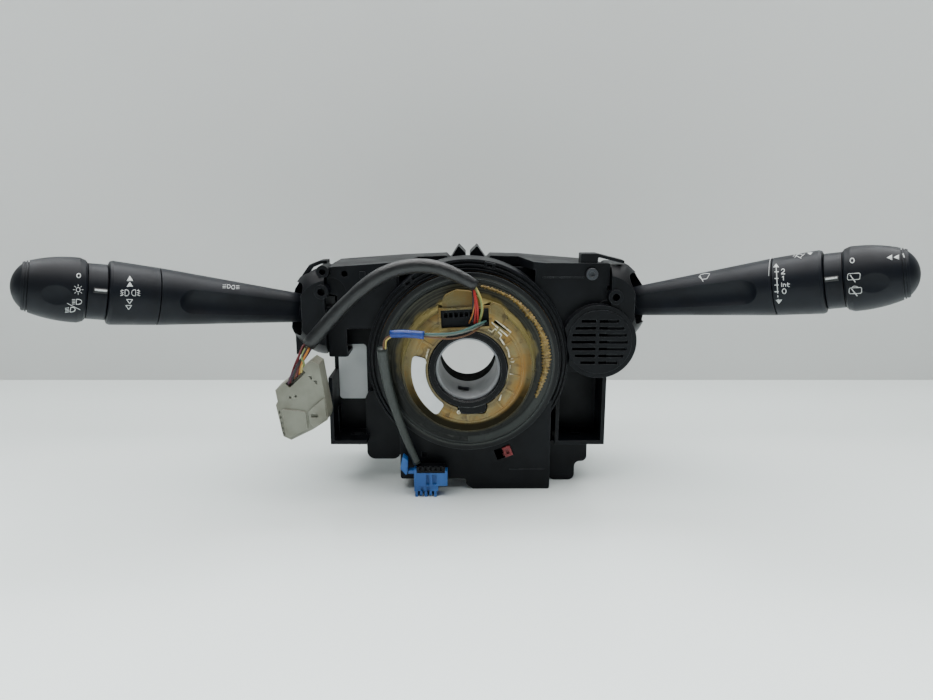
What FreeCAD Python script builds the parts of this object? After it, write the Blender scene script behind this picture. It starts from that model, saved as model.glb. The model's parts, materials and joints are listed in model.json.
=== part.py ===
import FreeCAD
import Part
import math
import os

# Steering column switch assembly, in millimetres.
# Y is the steering axis, -Y is towards the driver, +Z is up.
# The origin is on the steering axis, in the front plane of the rotor flange.

# Clearances
running_gap = 0.06
slide_gap = 0.15
gap = 0.4

# Rotor and its cassette, all turned about the Y axis; each ring starts where the one inside it ends
bore_r = 14.5
sleeve_wall = 1.1
hub_wall = 3.6
disc_band = 11.8
cover_band = 9.6
flange_band = 4.9
collar_wall = 5.4
sleeve_out = bore_r + sleeve_wall
hub_r = sleeve_out + hub_wall
disc_r = hub_r + disc_band
cover_r = disc_r + cover_band
flange_r = cover_r + flange_band
cassette_in = flange_r + gap
cassette_out = cassette_in + collar_wall
disc_y = -13.0
sleeve_rear_y = 20.0
drum_rear_y = 26.0
cassette_front_y = 5.3
cassette_rear_y = 28.5
column_collar_rear_y = 37.6

# Housing: its sides, floor and top are set out from the cassette
wall = 2.2
top_drop = 3.8
side_room = 16.2
floor_room = 16.7
top_z = cassette_out - top_drop
front_y = 12.5
rear_y = 58.0
plate_y = 30.0
half_gap = 1.1
left_x = -cassette_out - side_room
right_x = cassette_out + side_room
floor_z = -cassette_out - floor_room
box_left_x = -35.0
box_right_x = 42.4
box_front_y = 2.6

# Stalks: pivots, directions and stations along the stalk from its pivot
pivot_room = 20.3
pivot_x = cassette_out + pivot_room
pivot_y = 27.2
left_pivot_z = 22.3
right_pivot_z = 25.6
sweep_deg = 29.0
left_rise_deg = 9.0
right_rise_deg = 10.0
dome_r = 17.4
dome_wall = 1.4
seam = 0.3
left_arm_end_u = 86.3
right_arm_end_u = 84.9
left_ring_length = 21.6
right_ring_length = 21.2
left_neck_length = 8.2
right_neck_length = 7.6
knob_length = 25.1
button_length = 4.2
arm_root_z = 7.75
arm_root_y = 6.5
arm_end_r = 13.5
neck_r = 12.7
knob_r = 14.6
knob_tip_r = 10.4
barrel_r = 9.4
spigot_r = 8.0
wire_hole_r = 2.5
press_travel = 2.0
trunnion_r = 2.5
trunnion_end = 14.8
pin_r = 1.5
fit_gap = 0.03

# Speaker grille
grille_room = 15.1
grille_x = cassette_out + grille_room
grille_z = 9.6
grille_r = 16.4
grille_thick = 1.6
ridge_y = cassette_front_y + 2.4
grille_y = ridge_y - gap - grille_thick

V = FreeCAD.Vector


def box(x0, x1, y0, y1, z0, z1):
    return Part.makeBox(x1 - x0, y1 - y0, z1 - z0, V(x0, y0, z0))


def rod(start, end, radius):
    a = V(*start)
    b = V(*end)
    return Part.makeCylinder(radius, (b - a).Length, a, b - a)


def turned(profile):
    """A profile of (radius, y) points turned about the Y axis."""
    points = [V(r, y, 0) for r, y in profile]
    face = Part.Face(Part.makePolygon(points + points[:1]))
    return face.revolve(V(0, 0, 0), V(0, 1, 0), 360)


def ring(inner, outer, y0, y1):
    return turned([(inner, y0), (outer, y0), (outer, y1), (inner, y1)])


def disc(x, z, radius, y0, y1):
    return rod((x, y0, z), (x, y1, z), radius)


def spun(profile):
    """A profile of (station, radius) points turned about a stalk's own axis."""
    points = [V(u, r, 0) for u, r in profile]
    face = Part.Face(Part.makePolygon(points + points[:1]))
    return face.revolve(V(0, 0, 0), V(1, 0, 0), 360)


def rounded(points, radius):
    """A closed outline of straight lines whose corners are arcs."""
    edges = []
    ends = []
    count = len(points)
    for i in range(count):
        corner = points[i]
        before = points[i - 1] - corner
        after = points[(i + 1) % count] - corner
        half = before.getAngle(after) / 2
        run = radius / math.tan(half)
        run = min(run, 0.45 * before.Length, 0.45 * after.Length)
        a = corner + before.normalize() * run
        b = corner + after.normalize() * run
        inward = (before + after).normalize()
        bend = run * math.tan(half)
        middle = corner + inward * (run / math.cos(half) - bend)
        ends.append((a, b))
        edges.append(Part.Arc(a, middle, b).toShape())
    for i in range(count):
        edges.append(Part.LineSegment(ends[i - 1][1], ends[i][0]).toShape())
    return Part.Wire(Part.__sortEdges__(edges))


def soft_prism(outline, radius, y0, y1):
    """An outline of (x, z) points with rounded corners, carried along Y."""
    wire = rounded([V(x, y0, z) for x, z in outline], radius)
    return Part.Face(wire).extrude(V(0, y1 - y0, 0))


def soft_box(x0, x1, y0, y1, z0, z1, radius):
    return soft_prism([(x0, z0), (x1, z0), (x1, z1), (x0, z1)], radius, y0, y1)


def wider(outline, grow):
    """The outline with each point moved away from the outline's middle."""
    mid_x = sum(x for x, z in outline) / len(outline)
    mid_z = sum(z for x, z in outline) / len(outline)
    moved = []
    for x, z in outline:
        away = grow / math.hypot(x - mid_x, z - mid_z)
        moved.append((x + (x - mid_x) * away, z + (z - mid_z) * away))
    return moved


def prism(outline, z0, z1):
    """An outline of (x, y) points carried up Z."""
    points = [V(x, y, z0) for x, y in outline]
    return Part.Face(Part.makePolygon(points + points[:1])).extrude(V(0, 0, z1 - z0))


def joined(shapes):
    solid = shapes[0].multiFuse(shapes[1:])
    return solid.removeSplitter()


def cord_path(points, label):
    """Straight runs joined by tangent arcs; prints the smallest arc radius and the length."""
    path = [V(*p) for p in points]
    edges = []
    start = path[0]
    smallest = 1e9
    for i in range(1, len(path) - 1):
        corner = path[i]
        back = path[i - 1] - corner
        ahead = path[i + 1] - corner
        run = 0.45 * min(back.Length, ahead.Length)
        half_turn = (math.pi - back.getAngle(ahead)) / 2
        bend = run / math.tan(half_turn)
        a = corner + back.normalize() * run
        b = corner + ahead.normalize() * run
        inward = (back + ahead).normalize()
        middle = corner + inward * (bend / math.cos(half_turn) - bend)
        edges.append(Part.LineSegment(start, a).toShape())
        edges.append(Part.Arc(a, middle, b).toShape())
        smallest = min(smallest, bend)
        start = b
    edges.append(Part.LineSegment(start, path[-1]).toShape())
    wire = Part.Wire(edges)
    print(label, "smallest bend", round(smallest, 1), "length", round(wire.Length, 1))
    return wire


def tube_along(path, points, radius):
    start = V(*points[0])
    section = Part.Wire(Part.makeCircle(radius, start, V(*points[1]) - start))
    return path.makePipeShell([section], True, False)


def export(shape, name):
    solids = shape.Solids
    kept = solids[0] if len(solids) == 1 else Part.makeCompound(solids)
    kept.exportStep("parts/" + name + ".step")
    print(name, len(solids), "valid" if kept.isValid() else "INVALID", round(kept.Volume, 1))


os.makedirs("parts", exist_ok=True)

# Rotor pieces
hub_in = sleeve_out
drum_in = hub_r + 0.6
drum_out = drum_in + 2.0
disc_thick = 1.6
disc_back = disc_y + disc_thick
cover_front = -1.4
cover_thick = 1.0

inner_sleeve = ring(bore_r, sleeve_out, disc_y + 1.6, sleeve_rear_y)
key_window = box(-5.1, 0.4, 0.7, 8.3, -sleeve_out - 2, -bore_r + 2)
export(inner_sleeve.cut(key_window), "inner_sleeve")

hub_profile = [(hub_in, disc_y - 0.4), (hub_in + 0.6, disc_y - 1.0), (hub_r - 0.5, disc_y - 1.0),
               (hub_r, disc_y - 0.5), (hub_r, drum_rear_y - 8), (hub_in, drum_rear_y - 8)]
hub_ear_r = hub_r + 3.2
ear_root_z = 2.7 - hub_r
ear_end_z = -2.8 - hub_r
ear_outline = [(-5.4, ear_root_z), (9.6, ear_root_z), (7.8, ear_end_z), (-3.6, ear_end_z)]
ear = soft_prism(ear_outline, 2.4, disc_y - 0.8, disc_y + 4)
ear = ear.common(ring(hub_r - 1.0, hub_ear_r, disc_y - 1, disc_y + 5))
export(joined([turned(hub_profile), ear]), "hub_ring")

# The connector pocket is tilted a little, as seen in the picture
pocket_x0 = -12.9
pocket_x1 = 9.9
pocket_z0 = hub_r + 1.7
pocket_z1 = disc_r - 1.4
pocket_high = pocket_z1 - pocket_z0
pocket_tilt = 3.0
pocket_mid = V((pocket_x0 + pocket_x1) / 2, 0, (pocket_z0 + pocket_z1) / 2)


def pocket_box(grow, y0, y1):
    shape = box(pocket_x0 - grow, pocket_x1 + grow, y0, y1, pocket_z0 - grow, pocket_z1 + grow)
    shape.rotate(pocket_mid, V(0, 1, 0), -pocket_tilt)
    return shape


amber = [ring(hub_r + 0.25, disc_r, disc_y, disc_back)]
amber.append(ring(hub_r + 0.25, hub_r + 1.0, disc_y - 0.7, disc_back))
amber.append(ring(disc_r - 5.0, disc_r - 4.2, disc_y - 0.4, disc_back))
amber.append(pocket_box(1.0, disc_y - 0.9, disc_back))
top_bulge = [(-13.2, -2.0), (-11.6, 5.0), (-5.5, 7.6), (1.0, 7.0), (5.6, 3.8), (6.8, -2.0)]
top_bulge = [(x, disc_r + out) for x, out in top_bulge]
amber.append(soft_prism(top_bulge, 4.0, disc_y + 0.5, disc_y + 3.6))
side_bulge = [(9.6, 25.5), (10.4, 33.4), (16.0, 31.4), (18.8, 25.2), (15, 20)]
amber.append(soft_prism(side_bulge, 3.0, disc_y - 0.6, disc_back))
rib_count = 14
for i in range(rib_count):
    rib = box(-0.5, 0.5, disc_y - 0.6, disc_back, hub_r + 0.6, hub_r + 6.2)
    rib.rotate(V(0, 0, 0), V(0, 1, 0), 36 + i * 288 / rib_count)
    amber.append(rib)
amber_disc = joined(amber)
amber_disc = amber_disc.cut(pocket_box(0.0, disc_y - 3, disc_y + 6))
amber_disc = amber_disc.cut(ring(0, hub_r + 0.2, disc_y - 5, disc_y + 6))
amber_disc = amber_disc.cut(soft_prism(wider(ear_outline, 0.8), 2.4, disc_y - 5, disc_y + 9))
slot = soft_box(11.8, 19.6, disc_y - 2, disc_y + 6, 20.9, 22.7, 0.8)
slot.rotate(V(15.7, 0, 21.8), V(0, 1, 0), 34)
amber_disc = amber_disc.cut(slot)
export(amber_disc, "amber_disc")

clear_cover = turned([(disc_r + 0.1, disc_y + 0.5), (disc_r + 1.1, disc_y + 0.9), (disc_r + 2.9, cover_front),
                      (cover_r, cover_front), (cover_r, cover_front + cover_thick),
                      (disc_r + 2.0, cover_front + cover_thick), (disc_r + 0.1, disc_back + 0.6)])
clear_cover = clear_cover.cut(soft_prism(wider(top_bulge, 0.8), 4.0, disc_y - 1, disc_y + 4.0))
clear_cover = clear_cover.cut(soft_prism(wider(side_bulge, 0.8), 3.0, disc_y - 1, disc_back + gap))
clear_cover = clear_cover.cut(pocket_box(1.0 + gap, disc_y - 2, disc_y + 9.0))
export(clear_cover, "clear_cover")

flange = [ring(drum_in, flange_r - 0.2, 1.0, 2.6), ring(cover_r + 0.15, flange_r, 0.0, 2.6)]
flange.append(ring(drum_in, drum_out, 1.0, drum_rear_y))
flange.append(ring(flange_r - 3.4, flange_r - 2.9, -0.35, 1.0))
export(joined(flange), "rotor_flange")

code_ring = ring(hub_r + 0.1, drum_in - 0.02, 10.0, drum_rear_y - 8)
export(code_ring, "code_ring")

hub_label = ring(hub_r + 1.4, disc_r - 3.6, disc_y - 0.95, disc_y - 0.75)
wedge = Part.makeCylinder(40, 4, V(0, disc_y - 3, 0), V(0, 1, 0), 72)
wedge.rotate(V(0, 0, 0), V(0, 1, 0), 213.5)
hub_label = hub_label.common(wedge)
corners = [e for e in hub_label.Edges if e.BoundBox.YLength > 0.15 and e.BoundBox.DiagonalLength < 0.3]
hub_label = hub_label.makeFillet(1.8, corners)
export(hub_label, "hub_label")

connector_body = pocket_box(-0.15, disc_y + 0.6, disc_y + 8.5)
for i in range(6):
    x = pocket_x0 + 1.4 + i * 2.5
    cavity_z = (pocket_z0 + 0.56 * pocket_high, pocket_z1 - 0.16 * pocket_high)
    cavity = box(x, x + 1.8, disc_y - 1, disc_y + 4.6, *cavity_z)
    cavity.rotate(pocket_mid, V(0, 1, 0), -pocket_tilt)
    connector_body = connector_body.cut(cavity)
step = box(pocket_x0 + 17.6, pocket_x1 + 1, disc_y - 1, disc_y + 3.4,
           pocket_z0 + 0.18 * pocket_high, pocket_z1 - 0.16 * pocket_high)
step.rotate(pocket_mid, V(0, 1, 0), -pocket_tilt)
export(connector_body.cut(step), "hub_connector")

# Leads: each is a tube along straight runs joined by tangent arcs
main_sleeve_r = 3.4
main_wire_r = 1.15
aux_wire_r = 0.65
blue_sleeve_r = 1.9
aux_sleeve_r = 2.3
main_sleeve_points = [(3.4, -15.0, 41.0), (-9.0, -17.5, 49.0), (-23.5, -18.2, 51.4), (-37.6, -17.2, 48.2),
                      (-50.6, -15.6, 39.4), (-64.0, -13.8, 26.6), (-76.5, -12.3, 12.3)]
main_root_points = [(5.4, -13.2, 24.8), (6.4, -16.0, 29.8), (6.2, -16.6, 35.4), (4.1, -15.4, 40.0)]
main_tail_points = [(-76.9, -12.6, 11.5), (-79.2, -16.0, 7.0), (-81.5, -17.6, 1.8), (-82.9, -15.6, -3.3)]
aux_root_points = [(8.2, -12.4, 23.8), (5.2, -17.2, 21.0), (-1.2, -19.6, 19.2), (-10.9, -20.3, 18.1),
                   (-20.6, -19.6, 18.3)]
blue_sleeve_points = [(-20.7, -19.6, 18.3), (-36.6, -19.0, 18.8)]
aux_mid_points = [(-36.8, -19.0, 18.8), (-40.6, -18.2, 17.6), (-42.2, -15.6, 14.2), (-41.4, -13.0, 10.7)]
aux_sleeve_points = [(-41.3, -12.8, 10.5), (-40.6, -9.4, -1.8), (-38.2, -7.4, -14.4), (-34.6, -6.4, -27.0),
                     (-30.6, -6.0, -38.8), (-25.8, -5.4, -51.0)]
leads = [("main_lead_sleeve", main_sleeve_points, main_sleeve_r),
         ("main_lead_root", main_root_points, main_wire_r),
         ("main_lead_tail", main_tail_points, main_wire_r),
         ("aux_lead_root", aux_root_points, aux_wire_r),
         ("aux_blue_sleeve", blue_sleeve_points, blue_sleeve_r),
         ("aux_lead_middle", aux_mid_points, aux_wire_r),
         ("aux_lead_sleeve", aux_sleeve_points, aux_sleeve_r)]
for name, points, radius in leads:
    export(tube_along(cord_path(points, name), points, radius), name)

# White plug at the end of the main lead
white_front_y = -17.0
white_depth = 13.0
white_back_y = white_front_y + white_depth
white_outline = [(-92.7, -9.1), (-74.6, 5.4), (-71.2, 3.3), (-67.7, -21.6), (-68.1, -24.1), (-75.3, -28.9),
                 (-86.2, -34.3), (-90.0, -32.4), (-92.8, -16.6), (-91.9, -14.8)]
white_plug = soft_prism(white_outline, 0.5, white_front_y, white_back_y)
panel_thick = 0.9
panel_outline = [(-89.8, -18.4), (-78.4, -19.8), (-77.8, -28.2), (-86.4, -32.8), (-88.4, -31.4)]
panel = soft_prism(panel_outline, 0.8, white_front_y - panel_thick, white_front_y + 1)
white_plug = white_plug.fuse(panel).removeSplitter()
# The long slot that the wires enter runs beside the upper left edge
slot_deg = -43.0
wire_slot = soft_box(-5.6, 5.6, white_front_y - 1, white_front_y + 3.4, -1.5, 1.5, 0.5)
wire_slot.rotate(V(0, 0, 0), V(0, 1, 0), slot_deg)
wire_slot.translate(V(-82.7, 0, -3.2))
white_plug = white_plug.cut(wire_slot)
dash_count = 5
for i in range(dash_count):
    share = i / (dash_count - 1)
    x = -91.2 + 1.6 * share
    z = -20.2 - 10.8 * share
    white_plug = white_plug.cut(box(x - 0.4, x + 0.4, white_front_y - 1, white_front_y + 0.8, z - 0.8, z + 0.8))
for x, z in ((-85.7, -12.8), (-83.0, -12.2)):
    white_plug = white_plug.cut(disc(x, z, 0.6, white_front_y - 1, white_front_y + 1.0))
for x, z in ((-75.2, -2.4), (-72.8, -4.6)):
    white_plug = white_plug.cut(box(x - 1.1, x + 0.5, white_front_y - 1, white_front_y + 0.8, z - 0.5, z + 0.3))
    white_plug = white_plug.cut(box(x - 0.3, x + 0.5, white_front_y - 1, white_front_y + 0.8, z - 1.6, z + 0.3))
wire_ends = rod((-82.2, -17.3, -0.9), (-83.1, -15.2, -4.1), main_wire_r + 0.25)
export(white_plug.cut(wire_ends), "white_connector")

lock_thick = 1.1
lock_outline = [(-77.0, -19.4), (-69.0, -12.6), (-68.4, -22.6), (-74.4, -27.6), (-76.6, -25.2)]
white_lock = soft_prism(lock_outline, 0.6, white_front_y - lock_thick, white_front_y)
white_lock = white_lock.cut(box(-75.8, -72.6, white_front_y - 2, white_front_y + 1, -22.6, -20.8))
export(white_lock, "white_connector_lock")

# Blue plugs at the end of the thin lead; they stand on the same level as the housing
blue_front_y = -8.2
blue_back_y = -0.9
blue_top_z = -55.2
blue_waist_z = -62.0
blue_plug = [box(-27.3, -10.4, blue_front_y, blue_back_y, blue_waist_z, blue_top_z)]
blue_plug.append(box(-27.3, -26.0, blue_front_y, blue_back_y - 2, blue_top_z, blue_top_z + 1.9))
blue_plug.append(box(-11.6, -10.4, blue_front_y, blue_back_y - 2, blue_top_z, blue_top_z + 1.2))
blue_plug.append(box(-27.3, -15.2, blue_front_y + 0.5, blue_back_y, -65.0, blue_waist_z))
for i in range(5):
    x = -26.8 + i * 2.4
    blue_plug.append(box(x, x + 1.3, blue_front_y + 0.2, blue_back_y, floor_z + 0.8 * (i % 2), -65.0))
blue_plug.append(box(-30.3, -27.3, blue_front_y + 1, blue_back_y - 2, -55.8, blue_top_z + 1))
blue = joined(blue_plug)
for x0, x1, z0, z1 in ((-21.2, -19.5, -61.4, -56.0), (-18.0, -15.9, -61.4, -56.0), (-24.0, -22.6, -65.2, -62.6),
                       (-20.9, -19.4, -65.2, -62.6)):
    blue = blue.cut(box(x0, x1, blue_front_y - 1, blue_front_y + 1.4, z0, z1))
export(blue, "blue_connector")

guard_top_z = blue_top_z + 3.0
guard = box(-25.9, -11.7, blue_front_y + 0.3, blue_back_y - 0.6, blue_top_z, guard_top_z)
for i in range(5):
    x = -24.8 + i * 2.6
    guard = guard.cut(box(x, x + 1.5, blue_front_y - 1, blue_front_y + 1.8, blue_top_z + 1.2, guard_top_z + 0.2))
export(guard, "wire_guard")
small_outline = [(-32.9, -46.3), (-30.5, -48.4), (-30.3, -50.7), (-30.9, -56.6), (-34.2, -52.6)]
export(soft_prism(small_outline, 0.5, blue_front_y, blue_back_y - 1.5), "blue_connector_small")

# Flat cable wound inside the cassette
coil = []
coil_turns = 6
coil_in = drum_out + 1.6
coil_thick = 0.35
coil_step = (cassette_in - coil_thick - coil_in) / (coil_turns - 1)
coil_y0 = 6.0
coil_y1 = 24.0
for i in range(coil_turns):
    radius = coil_in + i * coil_step
    coil.append(ring(radius, radius + coil_thick, coil_y0, coil_y1))
    if i > 0:
        coil.append(box(radius - coil_step + 0.2, radius + 0.1, coil_y0, coil_y1, -coil_thick, coil_thick))
ribbon = joined(coil)
export(ribbon, "ribbon_coil")

# Cassette: the fixed ring around the rotor, with stepped ridges on its front
ridge = 1.1
cassette = [(cassette_in, cassette_front_y), (cassette_in + ridge, cassette_front_y),
            (cassette_in + ridge, ridge_y),
            (cassette_in + 2.1, ridge_y), (cassette_in + 2.1, cassette_front_y + 0.6),
            (cassette_in + 3.1, cassette_front_y + 0.6), (cassette_in + 3.1, cassette_front_y + 3.6),
            (cassette_in + 4.3, cassette_front_y + 3.6), (cassette_in + 4.3, ridge_y),
            (cassette_out, cassette_front_y + 2.8), (cassette_out, cassette_rear_y),
            (drum_out + gap, cassette_rear_y),
            (drum_out + gap, cassette_rear_y - 1.8), (cassette_in, cassette_rear_y - 1.8)]
cassette_ring = [turned(cassette)]
for angle in (-37.0, 12.5):
    y = cassette_front_y
    clip = box(-2.6, 2.6, y + 0.2, y + 5, cassette_in + 1.6, cassette_in + 4.9)
    clip = clip.cut(box(-1.4, 1.4, y - 1, y + 3, cassette_in + 2.4, cassette_in + 4.1))
    clip.rotate(V(0, 0, 0), V(0, 1, 0), angle)
    cassette_ring.append(clip)
export(joined(cassette_ring), "spring_cassette")

# Housing
cassette_room = ring(0, cassette_out + slide_gap, -20, cassette_rear_y + slide_gap)
rotor_window_r = flange_r + 0.7
block_z = -44.0
shelf_z = -46.0
pocket_front_y = 9.5
pocket_left_x = -72.0
pocket_right_x = 71.4
pocket_thick = 2.0
column_bore_r = bore_r + 0.6
column_collar = ring(column_bore_r, column_bore_r + 2.6, sleeve_rear_y + gap, column_collar_rear_y)
main = [box(pocket_left_x, right_x, plate_y, plate_y + wall, shelf_z, top_z - wall - gap), column_collar]
main.append(box(right_x - 1, pocket_right_x, plate_y, plate_y + wall, shelf_z, -9))
main.append(box(left_x, left_x + wall, plate_y, rear_y, shelf_z, 0))
main.append(box(right_x - wall, right_x, plate_y, rear_y, shelf_z, 0))
main.append(box(left_x, right_x, plate_y, rear_y, shelf_z, shelf_z + wall))
# Open pockets at both sides, each with a shelf that has a fixing slot
main.append(box(pocket_left_x, pocket_left_x + pocket_thick, pocket_front_y, plate_y + wall, shelf_z, -10))
main.append(box(pocket_left_x, -53, pocket_front_y, plate_y + wall, shelf_z, shelf_z + pocket_thick))
main.append(box(-70.6, -69.4, plate_y - 7, plate_y, shelf_z, -30))
main.append(box(pocket_right_x - pocket_thick, pocket_right_x, pocket_front_y, plate_y + wall, shelf_z, -9))
side_x = box_right_x + 3.2
main.append(box(side_x, pocket_right_x, pocket_front_y, plate_y + wall, shelf_z, shelf_z + pocket_thick))
main.append(box(side_x, side_x + 1.8, pocket_front_y, plate_y, shelf_z, -16))
left_block = [(-54.5, -20), (-54.5, -58), (-36.2, -58), (-36.2, -20)]
main.append(soft_prism(left_block, 4.5, 20, plate_y + wall))
# The rear wall of the lower electronics box
box_step_z = -62.4
box_outline = [(box_left_x, -17), (box_left_x, box_step_z), (-1, box_step_z), (-1, -65.4), (2.6, floor_z),
               (box_right_x, floor_z), (box_right_x, -17)]
main.append(soft_prism(box_outline, 1.2, plate_y, plate_y + wall))
right_block = [(43.2, -45), (63.4, -45), (63.4, -57.4), (57, -57.4), (57, floor_z), (43.2, floor_z)]
main.append(soft_prism(right_block, 3.5, 15, 45))
main.append(disc(-57.6, shelf_z - 0.6, 1.0, pocket_front_y + 4, plate_y))
housing = joined(main)
slot_half = 3.4
slot_r = 1.7
slot_y = 21.0
for slot_x in (-59.5, 57.5):
    x0 = slot_x - slot_half + slot_r
    x1 = slot_x + slot_half - slot_r
    hole = box(x0, x1, slot_y - slot_r, slot_y + slot_r, shelf_z - 2, shelf_z + 4)
    for x in (x0, x1):
        hole = hole.fuse(rod((x, slot_y, shelf_z - 2), (x, slot_y, shelf_z + 4), slot_r))
    housing = housing.cut(hole)
# Openings in the plate for the two stalk hinges
hinge_room = 10.4
for side, pivot_z in ((-1, left_pivot_z), (1, right_pivot_z)):
    near = side * (pivot_x - 18)
    far = side * (pivot_x + 20)
    opening = box(min(near, far), max(near, far), plate_y - 1, 47, pivot_z - hinge_room, pivot_z + hinge_room)
    housing = housing.cut(opening)
housing = housing.cut(ring(0, column_bore_r, -20, 80)).cut(cassette_room.cut(ring(0, drum_in, -30, 80)))
export(housing, "main_housing")

# Front of the lower electronics box, with the window of the transit lock
box_inner = [(box_left_x + wall, -10), (box_left_x + wall, box_step_z + wall), (-1 + wall, box_step_z + wall),
             (2.6 + wall, floor_z + wall), (box_right_x - wall, floor_z + wall), (box_right_x - wall, -10)]
lower = soft_prism(box_outline, 1.2, box_front_y, plate_y - 0.1)
lower = lower.cut(soft_prism(box_inner, 0.8, box_front_y + wall, plate_y + 5))
lower = lower.cut(cassette_room.cut(ring(0, 80, -30, box_front_y + wall)))
lower = lower.cut(ring(0, rotor_window_r, -20, 80))
lower = lower.fuse(box(21.5, 39.6, box_front_y - 0.3, box_front_y, -57.3, -56.8))
lower = lower.cut(box(-24.0, -21.2, box_front_y - 1, box_front_y + 1.5, -50.3, -47.5))
lock_deg = -21.0
lock_z = -cassette_out
window = box(-4.4, 4.4, box_front_y - 1, box_front_y + wall + 0.5, lock_z - 2.9, lock_z + 2.9)
window.rotate(V(0, 0, 0), V(0, 1, 0), lock_deg)
lower = lower.cut(window)
export(lower.removeSplitter(), "lower_front_box")

lock = joined([box(0.05, 4.25, box_front_y - 1.0, cassette_front_y - 0.3, lock_z - 2.7, lock_z + 2.7),
               box(0.05, 4.25, box_front_y - 1.0, cassette_front_y + 2, lock_z - 2.7, lock_z - 1.3),
               box(-1.0, 5.2, box_front_y + wall + slide_gap, cassette_front_y + 2, lock_z - 5.3, lock_z - 1.3)])
lock = lock.cut(box(1.3, 3.0, box_front_y - 2, box_front_y + 0.2, lock_z - 1.3, lock_z + 1.1))
lock.rotate(V(0, 0, 0), V(0, 1, 0), lock_deg)
export(lock, "transit_lock")

# Left and right switch housings: front wall, top cover with a peak beside the centre gap, and inner brackets
top_plan = prism([(-36, 0), (-27, 38), (27, 38), (36, 0)], 20, 70)
cover_bottom = top_z - wall


def switch_housing(side, outline, front_outline, pivot_z, bosses):
    """side is -1 at the left and 1 at the right; outlines are (distance from centre, z) points."""
    top = soft_prism([(side * x, z) for x, z in outline], 0.6, front_y, rear_y).cut(top_plan)
    front = soft_prism([(side * x, z) for x, z in front_outline], 1.0, front_y, front_y + wall)
    x0 = min(side * 35, side * 37)
    inner = box(x0, x0 + 2, front_y + 1, plate_y - 0.1, 16, cover_bottom + 1)
    shelf = box(-pivot_x, -62, front_y + 1, plate_y - gap, 0.5, 2.5) if side < 0 else inner
    x = side * pivot_x
    back_y = pivot_y + trunnion_end
    bracket_x = (min(x - side * 8, x + side), max(x - side * 8, x + side))
    bracket = box(*bracket_x, back_y - 3.2, back_y + 2.2, pivot_z - 6, cover_bottom + 1)
    front_boss = disc(x - side * 1.2, pivot_z, 4.4, front_y - 0.4, front_y + wall + 1.0)
    shape = joined([top, front, inner, shelf, bracket, front_boss])
    trim = box(-200, 200, -50, 100, -80, 100).cut(box(-pivot_x - gap, pivot_x + gap, -50, 100, -80, 100))
    shape = shape.cut(trim).cut(cassette_room)
    # The dome swings close behind the front wall, so the wall is thinner there, above and below the trunnion
    swing = Part.makeSphere(dome_r + gap, V(x, pivot_y, pivot_z))
    swing = swing.common(box(-200, 200, front_y + 0.5, pivot_y, -80, 100))
    swing = swing.cut(box(-200, 200, 0, 100, pivot_z - 4.5, pivot_z + 4.5))
    shape = shape.cut(swing.cut(box(5.0 - pivot_x, pivot_x - 5.0, 0, 100, -80, 100)))
    for boss_x, boss_z, outer, hole, y0, y1 in bosses:
        shape = shape.cut(disc(boss_x, boss_z, outer + slide_gap, y0 - 1, 26))
    screw_hole = disc(side * 62.3, 43.4, 1.6, front_y - 5, front_y + 10)
    return shape.cut(screw_hole)


def trunnion_hole(side, pivot_z):
    hole_r = trunnion_r + running_gap
    reach = trunnion_end + slide_gap
    return disc(side * pivot_x, pivot_z, hole_r, pivot_y - reach, pivot_y + reach)


# Bosses on the end collars: x, z, outer radius, hole radius, front y and the hole's rear y
shroud_hole_r = 1.9
left_bosses = [(-73.4, 34.8, 3.6, shroud_hole_r, 7.2, 13.0), (-72.8, 44.7, 3.2, 1.6, 9.4, 15.0)]
right_bosses = [(74.0, 32.3, 3.7, shroud_hole_r, 6.4, 12.0)]

left_top = [(pivot_x, cover_bottom), (pivot_x, 46.6), (36, 49.2), (11.6, 50.2), (9.6, 48.0), (5.0, 55.4),
            (half_gap, 51.4), (half_gap, cover_bottom)]
right_top = [(pivot_x, cover_bottom), (pivot_x, 46.2), (28, 49.8), (12.2, 50.2), (10.0, 48.0), (5.0, 55.4),
             (half_gap, 51.4), (half_gap, cover_bottom)]
left_front = [(pivot_x, 46.4), (36, 49.0), (36, 15.4), (62, 15.4), (62, 0.5), (pivot_x, 0.5)]
right_front = [(pivot_x, 48.6), (34, 48.9), (34, -7.6), (pivot_x, -7.6)]
left_housing = switch_housing(-1, left_top, left_front, left_pivot_z, left_bosses)
recess = disc(-69.4, 33.8, 7.6, front_y - 5, front_y + 0.6)
left_housing = left_housing.cut(recess)
left_housing = left_housing.fuse(box(-54.6, -51.8, front_y - 0.6, front_y, 41.0, 44.6)).removeSplitter()
export(left_housing.cut(trunnion_hole(-1, left_pivot_z)), "left_switch_housing")

right_housing = switch_housing(1, right_top, right_front, right_pivot_z, right_bosses)
# A notch at the end of the front wall lets the root of the arm pass when the stalk is up and pulled
root_notch = box(pivot_x - 1.2, 200, front_y - 1, front_y + wall + 1, right_pivot_z + 8.2, right_pivot_z + 11.5)
right_housing = right_housing.cut(root_notch)
right_housing = right_housing.cut(disc(grille_x, grille_z, grille_r + 1.2, front_y - 9, front_y + 5))
drum = disc(grille_x, grille_z, grille_r + 2.4, grille_y + 0.5, front_y + wall)
drum = drum.cut(disc(grille_x, grille_z, grille_r + 0.05, grille_y - 5, front_y + 9))
drum_lip = drum.common(box(pivot_x - 1, 100, 0, grille_y + 2.2, -30, 60))
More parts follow.
